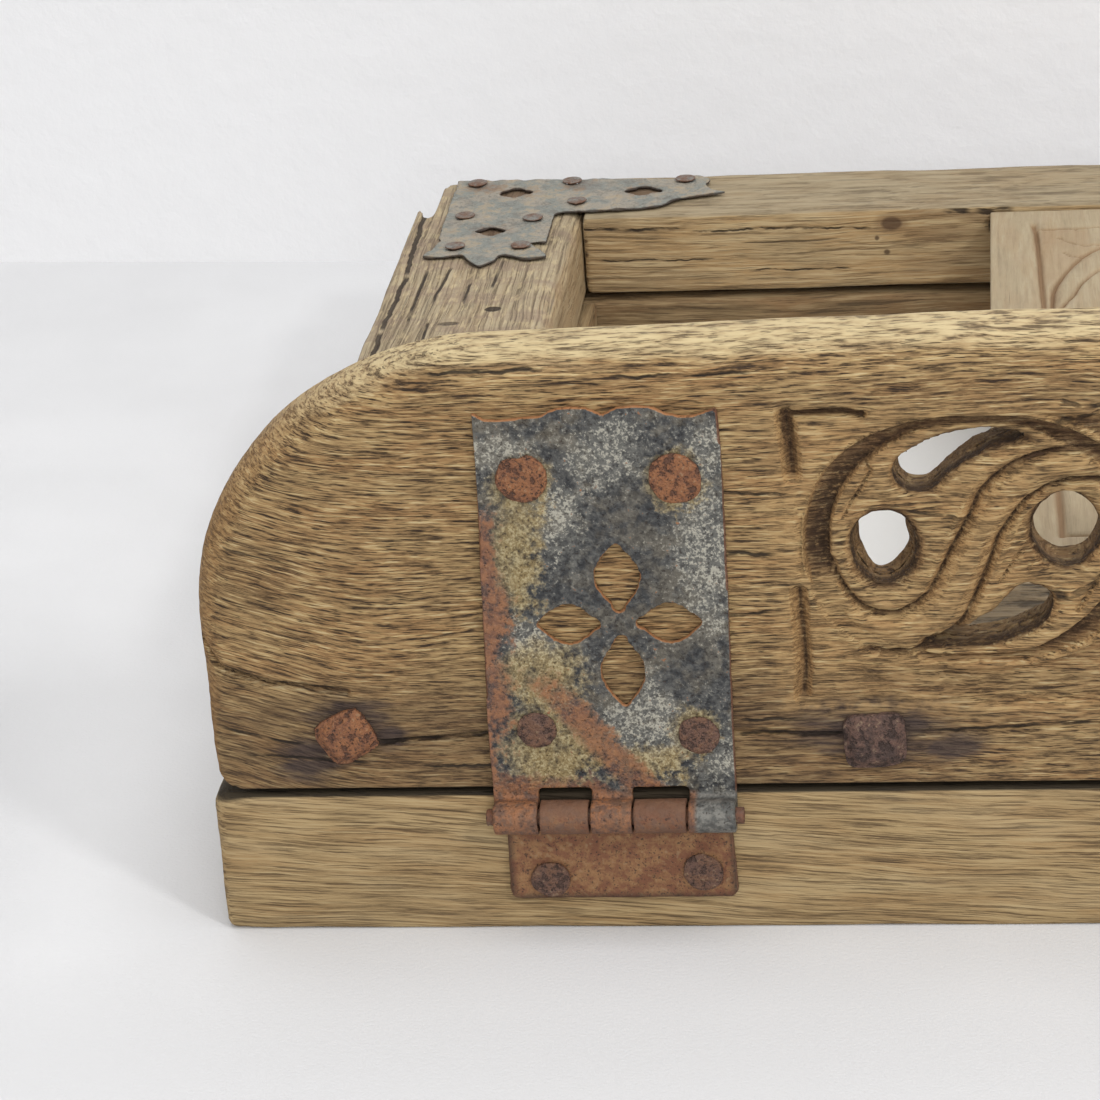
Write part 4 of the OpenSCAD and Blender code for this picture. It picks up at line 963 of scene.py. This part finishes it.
def carvePanel(spec):
    piece, p, n = takeCopy("carved_lid_panel", "carved_oak_lid_panel", spec["grid"])
    low, high = nodeBox("carved_lid_panel")
    half = np.abs(p[:, 0])
    top = (p[:, 2] > high[2] - 3.6) & (n[:, 2] > -0.2)
    slotEdge = (half < 48) & (n[:, 2] < 0.6)
    face = top & ~slotEdge & (half < high[0] - 1.2) & (p[:, 1] > 45) & (p[:, 1] < 380)
    inField = face & (half < spec["fieldHalf"]) & (p[:, 1] > spec["fieldNear"]) & (p[:, 1] < spec["fieldFar"])
    p[inField, 2] = high[2]
    relax(piece, p, inField, 4)
    depth = panelDepth(p[:, 0], p[:, 1], spec) * inField
    worn = np.abs(layeredNoise(p, (0.06, 0.03, 0.06), 3, 71)) * 0.6 + np.abs(layeredNoise(p, 0.3, 2, 72)) * 0.18
    p[:, 2] -= depth + face * worn
    return piece, p


def panelMarks(f, colour, height, rough, tone):
    # paler patches, and darker brown in the cuts
    top = f.z.step(66.0, 70.0)
    colour = f.mix(f.noise(f.point, 0.12).step(0.45, 0.65) * 0.3, colour, rgb(156, 138, 114))
    colour = f.mix(f.z.step(74.2, 72.9) * top * 0.75, colour, rgb(112, 84, 58))
    colour = f.mix(f.z.step(74.7, 74.0) * top * 0.25, colour, rgb(150, 118, 84))
    return colour, height, rough


panel, panelPoints = carvePanel(panelSpec)
putBack(panel, panelPoints, "carved_lid_panel",
        oak("oakPanel", "panel", "y", (0.03, 0.4), None, panelMarks, None, 0.5, 0.25))
print("panel carved")

# iron

ironTones = {
    "black": rgb(42, 43, 45), "slate": rgb(82, 82, 80), "steel": rgb(126, 124, 118), "tin": rgb(146, 139, 126),
    "speck": rgb(170, 166, 152), "mist": rgb(124, 122, 114), "haze": rgb(122, 110, 88), "pewter": rgb(105, 100, 92),
    "verdigris": rgb(127, 129, 122), "buff": rgb(163, 147, 122), "cream": rgb(172, 156, 114),
    "ochre": rgb(136, 114, 68), "tan": rgb(152, 134, 108), "clay": rgb(136, 100, 66), "bright": rgb(156, 106, 64),
    "orange": rgb(136, 90, 58), "rust": rgb(112, 73, 52), "brown": rgb(104, 74, 56), "plum": rgb(94, 70, 60),
    "dusk": rgb(66, 51, 46), "umber": rgb(52, 38, 31),
}


# in mm: round heads as across and up from the hinge's middle on its pin, and radius
hingeSpec = {
    "across": 194.5, "axis": 39.0, "front": 2.2, "cap": 1.3,
    "upper": [(-19.2, 102.3, 7.2), (22.1, 101.4, 7.5), (-20.5, 26.0, 5.8), (24.5, 23.8, 6.0)],
    "lower": [(-19.6, -21.5, 5.8), (23.7, -19.5, 6.0)],
}
# heads: middle, turn in degrees, width and height, squareness, and lift
bigNailSpec = {
    "up": 60.0, "half": 8.5, "high": 4.0, "untwist": 0.8,
    "heads": [(-269.0, 40, 0.94, 0.88, 3.6, 3.0), (-121.5, 4, 1.04, 0.98, 5.0, 0.0), (0.0, 12, 0.98, 0.94, 5.0, 0.0),
              (121.5, -6, 1.02, 0.94, 5.0, 0.0), (269.0, 32, 0.92, 0.88, 5.5, 1.6)],
}
# diamonds and points are measured in from the strap's inner corner; points also say which way and how far they pull
strapSpec = {
    "inX": 291.5, "inY": 428.0, "top": 79.05,
    "diamonds": [(24.4, 16.0, 7.9), (19.7, 58.0, 6.8), (72.8, 18.0, 7.9)],
    "points": [(0.0, 81.0, -0.9, 0.5, 2.6), (20.0, 92.0, 0.0, 1.0, 2.0), (41.5, 85.0, 0.9, 0.5, 2.4)],
    "rusty": [(267.0, 412.0), (271.8, 370.0), (218.7, 410.0), (279.0, 418.0), (243.0, 418.0)],
}


def ironGrit(f):
    # the shared pitting: patches, crumbs, grit and pits
    return (f.noise(f.point, 0.16, 4.0, 0.62), f.noise(f.point, 0.38, 3.0, 0.65),
            f.noise(f.point, 0.75, 3.0, 0.65), f.noise(f.point, 1.6, 2.0))


# the upper leaf's paint: ovals as middles, towards the end of the box and up from the pin, and half sizes
leafZones = {
    "white": [((-4, 107), (17, 15)), ((-29, 78), (13, 36)), ((-10, 26), (18, 22)), ((10, 88), (10, 22)),
              ((20, 52), (11, 13)), ((-30, 16), (9, 14)), ((-32, 108), (9, 11)), ((27, 111), (16, 9))],
    "dark": [((-2, 72), (22, 24)), ((-12, 92), (14, 14)), ((12, 62), (12, 12)), ((-24, 46), (14, 14))],
    "ochre": [((22, 78), (11, 28)), ((18, 42), (18, 17)), ((14, 18), (26, 15)), ((20, 100), (14, 14)),
              ((-22, 100), (12.5, 12.5)), ((20, 26), (12, 12)), ((-24, 24), (11, 11)), ((-11, 15), (16, 10))],
    "corner": [((32, 34), (9, 22)), ((30, 62), (8, 20)), ((24, 8), (22, 7)), ((8, 6), (14, 5))],
}


def leafFinish(name, side):
    # charcoal with pale specks, ochre patches, and rust along the edges and in a run
    t = ironTones
    f = Finish(name, Specular_IOR_Level=0.4)
    cloud = f.noise(f.point, 0.045, 4.0)
    patch, crumb, grit, sand = ironGrit(f)
    across, up = f.x * side - hingeSpec["across"], f.z - hingeSpec["axis"]
    wander = (patch - 0.5) * 22.0 + (cloud - 0.5) * 14.0 + (crumb - 0.5) * 10.0
    acrossW, upW = across + wander * 0.45, up + (crumb - 0.5) * 16.0 + (cloud - 0.5) * 14.0
    white, dark, ochre, corner = (f.spots(acrossW, upW, leafZones[zone], 0.75)
                                  for zone in ("white", "dark", "ochre", "corner"))
    colour = f.mix((grit * 0.5 + crumb * 0.5).step(0.40, 0.62), t["black"], t["slate"])
    colour = f.mix((cloud * 0.4 + patch * 0.6).step(0.46, 0.58) * 0.34, colour, t["haze"])
    mist = (white * 0.9 + (crumb - 0.5) * 1.6 + (patch - 0.5) * 1.6 + 0.08).clamped()
    colour = f.mix(mist * 0.48, colour, t["mist"])
    colour = f.mix(dark.step(0.05, 0.6) * (grit * 0.5 + crumb * 0.5).step(0.62, 0.42) * 0.42, colour, t["black"])
    speck = (grit * 0.5 + sand * 0.35 + patch * 0.15 + white * 0.06 - dark * 0.05).step(0.545, 0.62)
    colour = f.mix(speck * (white * 0.35 + 0.45), colour, t["speck"])
    share = ochre * 1.2 + (patch - 0.5) * 1.8 + (crumb - 0.5) * 1.8 + (grit - 0.5) * 1.6 - 0.25
    yellow = f.mix((grit * 0.6 + sand * 0.4).step(0.44, 0.60), t["ochre"], t["cream"])
    colour = f.mix(share.clamped() * ochre.step(0.0, 0.4) * 0.75, colour, yellow)
    strip = (across - up.step(52.0, 44.0) * 4.6 + wander * 0.34).step(26.0, 30.0) * up.step(98.0, 84.0)
    run = abs(across - 4.5 - (up - 24.0) * 0.78 + wander * 0.30).step(8.5, 2.5) * up.step(48.0, 36.0)
    rust = strip.most(corner * 0.9).most(run * 0.95).most(abs(across).step(34.8, 35.8) * 0.8)
    rust = rust.most((crumb * 0.6 + grit * 0.4).step(0.61, 0.66) * 0.55)
    share = rust * 1.25 + (grit - 0.5) * 1.8 + (crumb - 0.5) * 1.8 + (patch - 0.5) * 1.2 - 0.22
    rustShare = share.clamped() * rust.step(0.0, 0.2)
    crust = f.mix(crumb.step(0.40, 0.60), t["rust"], t["orange"])
    crust = f.mix((patch * 0.6 + grit * 0.4).step(0.52, 0.40) * 0.65, crust, t["plum"])
    crust = f.mix((cloud * 0.4 + sand * 0.6).step(0.55, 0.68) * 0.5, crust, t["tan"])
    colour = f.mix(rustShare * 0.88, colour, crust)
    # the knuckles are rusty, but for a plain grey one at the inner end
    knuckle, plain = up.step(7.0, 4.5), across.step(-22.0, -24.0)
    rusty = knuckle * (1 - plain)
    colour = f.mix(rusty * 0.85, colour, f.mix(crumb.step(0.36, 0.58), t["brown"], t["orange"]))
    colour = f.mix(rusty * (patch * 0.5 + grit * 0.5).step(0.50, 0.42) * 0.7, colour, t["plum"])
    colour = f.mix(knuckle * plain * 0.85, colour, f.mix(crumb.step(0.38, 0.62), t["steel"], t["slate"]))
    edge = f.ny.step(-0.93, -0.6) * (1 - knuckle)
    colour = f.mix(edge * 0.85, colour, f.mix(abs(across).step(31.0, 33.0), t["bright"], t["rust"]))
    colour = f.mix(f.d.step(-0.5, 0.5) * up.step(5.0, 9.0) * 0.6, colour, t["umber"])
    pits = (grit * 0.5 + sand * 0.5).step(0.43, 0.35)
    colour = f.mix(pits * 0.6, colour, t["umber"])
    height = crumb * 0.5 + grit * 0.55 + sand * 0.25 - pits * 0.3 + rustShare * 0.15
    return f.done(Base_Color=colour, Roughness=grit * 0.3 + 0.45, Normal=f.bump(height, 0.0008, 0.9),
                  Metallic=(1 - rustShare) * (knuckle * plain * 0.3 + 0.12))


def rustFinish(name, main, second, fleck="cream", share=0.35, contrast=1.0, edges=None, shine=0.0, darkAbove=None,
               rim=None):
    # a rusty nail, knuckle or plate
    t = ironTones
    f = Finish(name, Specular_IOR_Level=0.35)
    patch, crumb, grit, sand = ironGrit(f)
    spread = (patch * 0.45 + crumb * 0.55).step(0.5 - 0.11 / contrast, 0.5 + 0.11 / contrast)
    colour = f.mix(spread, t[main], t[second])
    colour = f.mix((grit * 0.5 + sand * 0.5).step(0.47, 0.37) * 0.75 * contrast, colour, t["umber"])
    colour = f.mix((crumb * 0.5 + grit * 0.5).step(0.55, 0.64) * share, colour, t[fleck])
    if rim:
        middle, half, foot = rim
        border = abs(abs(f.x) - middle).step(half - 3.5, half).most(f.z.step(foot + 3.5, foot))
        colour = f.mix((border * 1.2 + (crumb - 0.5) * 1.2 - 0.1).clamped() * 0.8, colour, t["umber"])
    if darkAbove:
        above = f.z.step(darkAbove - 1.5, darkAbove + 0.5)
        colour = f.mix(above * (crumb.step(0.40, 0.60) * 0.75 + 0.05), colour, t["plum"])
    if edges:
        tilt = f.ny.step(-0.985, -0.8) if edges == "front" else f.nz.step(0.93, 0.6)
        colour = f.mix(tilt * 0.75, colour, t["brown"])
    height = patch * 0.4 + crumb * 0.5 + grit * 0.5 + sand * 0.2
    return f.done(Base_Color=colour, Roughness=grit * 0.25 + 0.55, Normal=f.bump(height, 0.0008 * contrast, 0.85),
                  Metallic=patch.step(0.6, 0.4) * 0.15 + shine)


def nailFinish(name, split, low, high, axis="z"):
    # nails that change colour along the box: low and high are the two tones either side of split
    t = ironTones
    f = Finish(name, Specular_IOR_Level=0.35)
    patch, crumb, grit, sand = ironGrit(f)
    upper = {"z": f.z, "x": f.x}[axis].step(split - 5.0, split + 5.0)
    spread = (patch * 0.4 + crumb * 0.6).step(0.42, 0.60)
    colour = f.mix(upper, f.mix(spread, t[low[0]], t[low[1]]), f.mix(spread, t[high[0]], t[high[1]]))
    colour = f.mix((grit * 0.5 + sand * 0.5).step(0.48, 0.39) * 0.8, colour, t["umber"])
    colour = f.mix((grit * 0.6 + crumb * 0.4).step(0.57, 0.64) * 0.35, colour, t["tan"])
    pock = crumb.step(0.46, 0.36)
    colour = f.mix(pock * 0.55, colour, t["umber"])
    height = patch * 0.4 + crumb * 0.8 + grit * 0.7 + sand * 0.2 - pock * 0.4
    return f.done(Base_Color=colour, Roughness=grit * 0.25 + 0.55, Normal=f.bump(height, 0.0013, 0.95))


def strapFinish(name):
    # worn grey iron with blue-grey and buff clouds, rusty round the pierced diamonds and at its edges
    t = ironTones
    f = Finish(name, Specular_IOR_Level=0.35, Metallic=0.1)
    patch, crumb, grit, sand = ironGrit(f)
    broad = f.noise(f.point, 0.09)
    colour = f.mix(broad.step(0.42, 0.56), t["tin"], t["verdigris"])
    colour = f.mix((patch * 0.6 + crumb * 0.4).step(0.50, 0.60) * 0.65, colour, t["buff"])
    colour = f.mix((patch * 0.5 + grit * 0.5).step(0.49, 0.40) * 0.6, colour, t["pewter"])
    reach = f.spots(abs(f.x), f.d, [(at, (13, 11)) for at in strapSpec["rusty"]], 0.8)
    rust = (reach * 0.9 + (crumb - 0.5) * 2.0 + (patch - 0.5) * 1.6 - 0.35).clamped()
    colour = f.mix(rust * 0.7, colour, t["brown"])
    colour = f.mix(f.nz.step(0.93, 0.6) * 0.8, colour, t["umber"])
    height = broad * 1.2 + patch * 0.9 + crumb * 0.5 + grit * 0.4
    return f.done(Base_Color=colour, Roughness=grit * 0.25 + 0.5, Normal=f.bump(height, 0.0016, 0.9))


def ringNoise(turn, reach, place, seed):
    # a ragged outline, the same after one turn
    circle = np.stack([np.cos(turn) * reach, np.sin(turn) * reach, np.full(len(turn), place)], 1)
    return layeredNoise(circle, 1, 2, seed)


def forgeRound(p, side, heads):
    # flattens and roughens the round heads on the front
    front, cap = hingeSpec["front"], hingeSpec["cap"]
    for k, (ax, az, radius) in enumerate(heads):
        cx, cz = side * (hingeSpec["across"] - ax), hingeSpec["axis"] + az
        qx, qz = p[:, 0] - cx, p[:, 2] - cz
        near = (np.hypot(qx, qz) < radius + 2) & (p[:, 1] < 1)
        turn = np.arctan2(qz, -qx * side)
        ragged = 1.02 + 0.11 * ringNoise(turn, 1.3, 7.0 * k + 2.5, 31)
        if k == 0 and radius > 6:
            ragged = ragged - 0.16 * np.exp(-((np.degrees(turn) - 96) / 16) ** 2)
        p[near, 0] += (qx * (ragged - 1))[near]
        p[near, 2] += (qz * (ragged - 1))[near]
        head = near & (p[:, 1] < -front)
        p[head, 1] = -front - cap * np.tanh((-front - p[head, 1]) / cap)


def leanLeaf(p, side):
    # the leaf's upper edge spreads, more towards the middle of the box
    across = side * p[:, 0] - hingeSpec["across"]
    high = ease(p[:, 2], hingeSpec["axis"] + 20, hingeSpec["axis"] + 118)
    edge = ease(np.abs(across), 28, 35) * high
    p[:, 0] -= side * edge * np.where(across > 0, 1.3, 2.5)


def spin(a, b, degrees):
    c, s = math.cos(math.radians(degrees)), math.sin(math.radians(degrees))
    return a * c - b * s, a * s + b * c


def forgeBig(p, spec):
    # hammered heads: rounded squares with a broad, nearly flat face
    for k, (cx, turn, wide, tall, square, lift) in enumerate(spec["heads"]):
        qx, qz = p[:, 0] - cx, p[:, 2] - spec["up"]
        a, b = spin(qx, qz, -turn)
        rho = np.maximum(np.abs(a), np.abs(b)) / spec["half"]
        near = (np.hypot(qx, qz) < 14) & (p[:, 1] < 0.3) & (rho > 0.01)
        angle = np.arctan2(b, a)
        outline = (np.abs(np.cos(angle)) ** square + np.abs(np.sin(angle)) ** square) ** (-1 / square)
        outline = outline * spec["half"]
        outline = outline * (1 + 0.06 * ringNoise(angle, 1.2, 5.0 * k + 1.5, 41))
        face = p[:, 1] < -1.9
        rho = np.where(face, np.clip(rho, 0, 1) ** 0.6, rho)
        a, b = rho * outline * np.cos(angle) * wide, rho * outline * np.sin(angle) * tall
        a, b = spin(a, b, turn * spec["untwist"])
        p[near, 0] = (cx + a)[near]
        p[near, 2] = (spec["up"] + lift + b)[near]
        high = spec["high"] * (1 - 0.55 * ease(rho, 0.55, 1.0))
        dented = high * (1 + 0.10 * layeredNoise(p, 0.16, 2, 43))
        both = near & face
        p[both, 1] = -dented[both]


def openStrap(p, side, spec):
    # the pierced diamonds have fuller sides
    for ax, ay, size in spec["diamonds"]:
        cx, cd = side * (spec["inX"] - ax), spec["inY"] - ay
        qx, qd = p[:, 0] - cx, p[:, 1] - cd
        reach = np.hypot(qx, qd)
        turn = np.arctan2(qd, qx)
        edge = size * (0.36 + 0.5 * np.abs(np.cos(2 * turn)) ** 1.6)
        push = size * 0.18 * np.abs(np.sin(2 * turn)) ** 0.8 * np.exp(-np.maximum(reach - edge, 0) / 2.5)
        push = push * (reach < size + 6) / np.maximum(reach, 1e-6)
        p[:, 0] += qx * push
        p[:, 1] += qd * push
    # the lobes at the forward end come to points
    for ax, ay, outX, outY, pull in spec["points"]:
        cx, cd = side * (spec["inX"] - ax), spec["inY"] - ay
        near = np.exp(-(np.hypot(p[:, 0] - cx, p[:, 1] - cd) / 2.6) ** 2) * pull
        p[:, 0] -= side * outX * near
        p[:, 1] -= outY * near


def sinkStrapNails(p, spec):
    # worn nearly flush with the strap
    head = p[:, 2] > spec["top"]
    p[head, 2] = spec["top"] + 0.75 * np.tanh((p[head, 2] - spec["top"]) / 0.75)


rustIron = rustFinish("rustIron", "rust", "plum")
lowerLow, lowerHigh = nodeBox("left_hinge_lower_leaf")
lowerRim = (-(lowerLow[0] + lowerHigh[0]) / 2, (lowerHigh[0] - lowerLow[0]) / 2, lowerLow[2])
lowerLeafRust = rustFinish("lowerLeafRust", "rust", "clay", "tan", 0.3, 1.15, "front", darkAbove=34.0, rim=lowerRim)
strapIron = strapFinish("strapIron")
strapNailIron = rustFinish("strapNailIron", "steel", "brown", "tin", 0.5, 0.9, "top", 0.05)
leafIron = {-1: leafFinish("leafIronLeft", -1), 1: leafFinish("leafIronRight", 1)}
upperNailIron = nailFinish("upperNailIron", 100.0, ("plum", "brown"), ("rust", "orange"))
lowerNailIron = nailFinish("lowerNailIron", 100.0, ("plum", "brown"), ("plum", "brown"))
forgedIron = nailFinish("forgedIron", -200.0, ("rust", "orange"), ("dusk", "plum"), "x")


def makeIron(node, name, grid, material, dent, seed, forge=None, *details):
    piece, p, n = takeCopy(node, name, grid)
    p += n * (layeredNoise(p, 0.18, 3, seed) * dent - dent * 0.7)[:, None]
    if forge:
        forge(p, *details)
    putBack(piece, p, node, material)


for side, sign in (("left", -1), ("right", 1)):
    hinge = side + "_hinge_"
    makeIron(hinge + "upper_leaf", side + "_iron_upper_leaf", 0.8, leafIron[sign], 0.2, 91, leanLeaf, sign)
    makeIron(hinge + "lower_leaf", side + "_iron_lower_leaf", 0.8, lowerLeafRust, 0.2, 92)
    makeIron(hinge + "pin", side + "_iron_pin", 0.8, rustIron, 0.1, 93)
    makeIron(hinge + "upper_nails", side + "_upper_nails", 0.6, upperNailIron, 0.35, 94, forgeRound, sign,
             hingeSpec["upper"])
    makeIron(hinge + "lower_nails", side + "_lower_nails", 0.6, lowerNailIron, 0.35, 95, forgeRound, sign,
             hingeSpec["lower"])
    makeIron("back_" + side + "_corner_strap", side + "_iron_strap", 0.8, strapIron, 0.6, 96, openStrap, sign,
             strapSpec)
    makeIron(side + "_strap_nails", side + "_nails_of_strap", 0.6, strapNailIron, 0.25, 97, sinkStrapNails, strapSpec)
makeIron("front_board_nails", "forged_nails", 0.7, forgedIron, 0.3, 98, forgeBig, bigNailSpec)
makeIron("base_lock_eye", "lower_lock_eye", 0.8, rustIron, 0.2, 99)
makeIron("lid_lock_eye", "upper_lock_eye", 0.8, rustIron, 0.2, 100)
makeIron("base_eye_nails", "lower_eye_nails", 0.7, rustIron, 0.25, 101)
makeIron("lid_eye_nails", "upper_eye_nails", 0.7, rustIron, 0.25, 102)
for node in ("base_pegs", "lid_pegs"):
    makeIron(node, "oak_" + node, 0.9, oak("oak_" + node, "inner", "z"), 0.1, 103)
print("iron made")
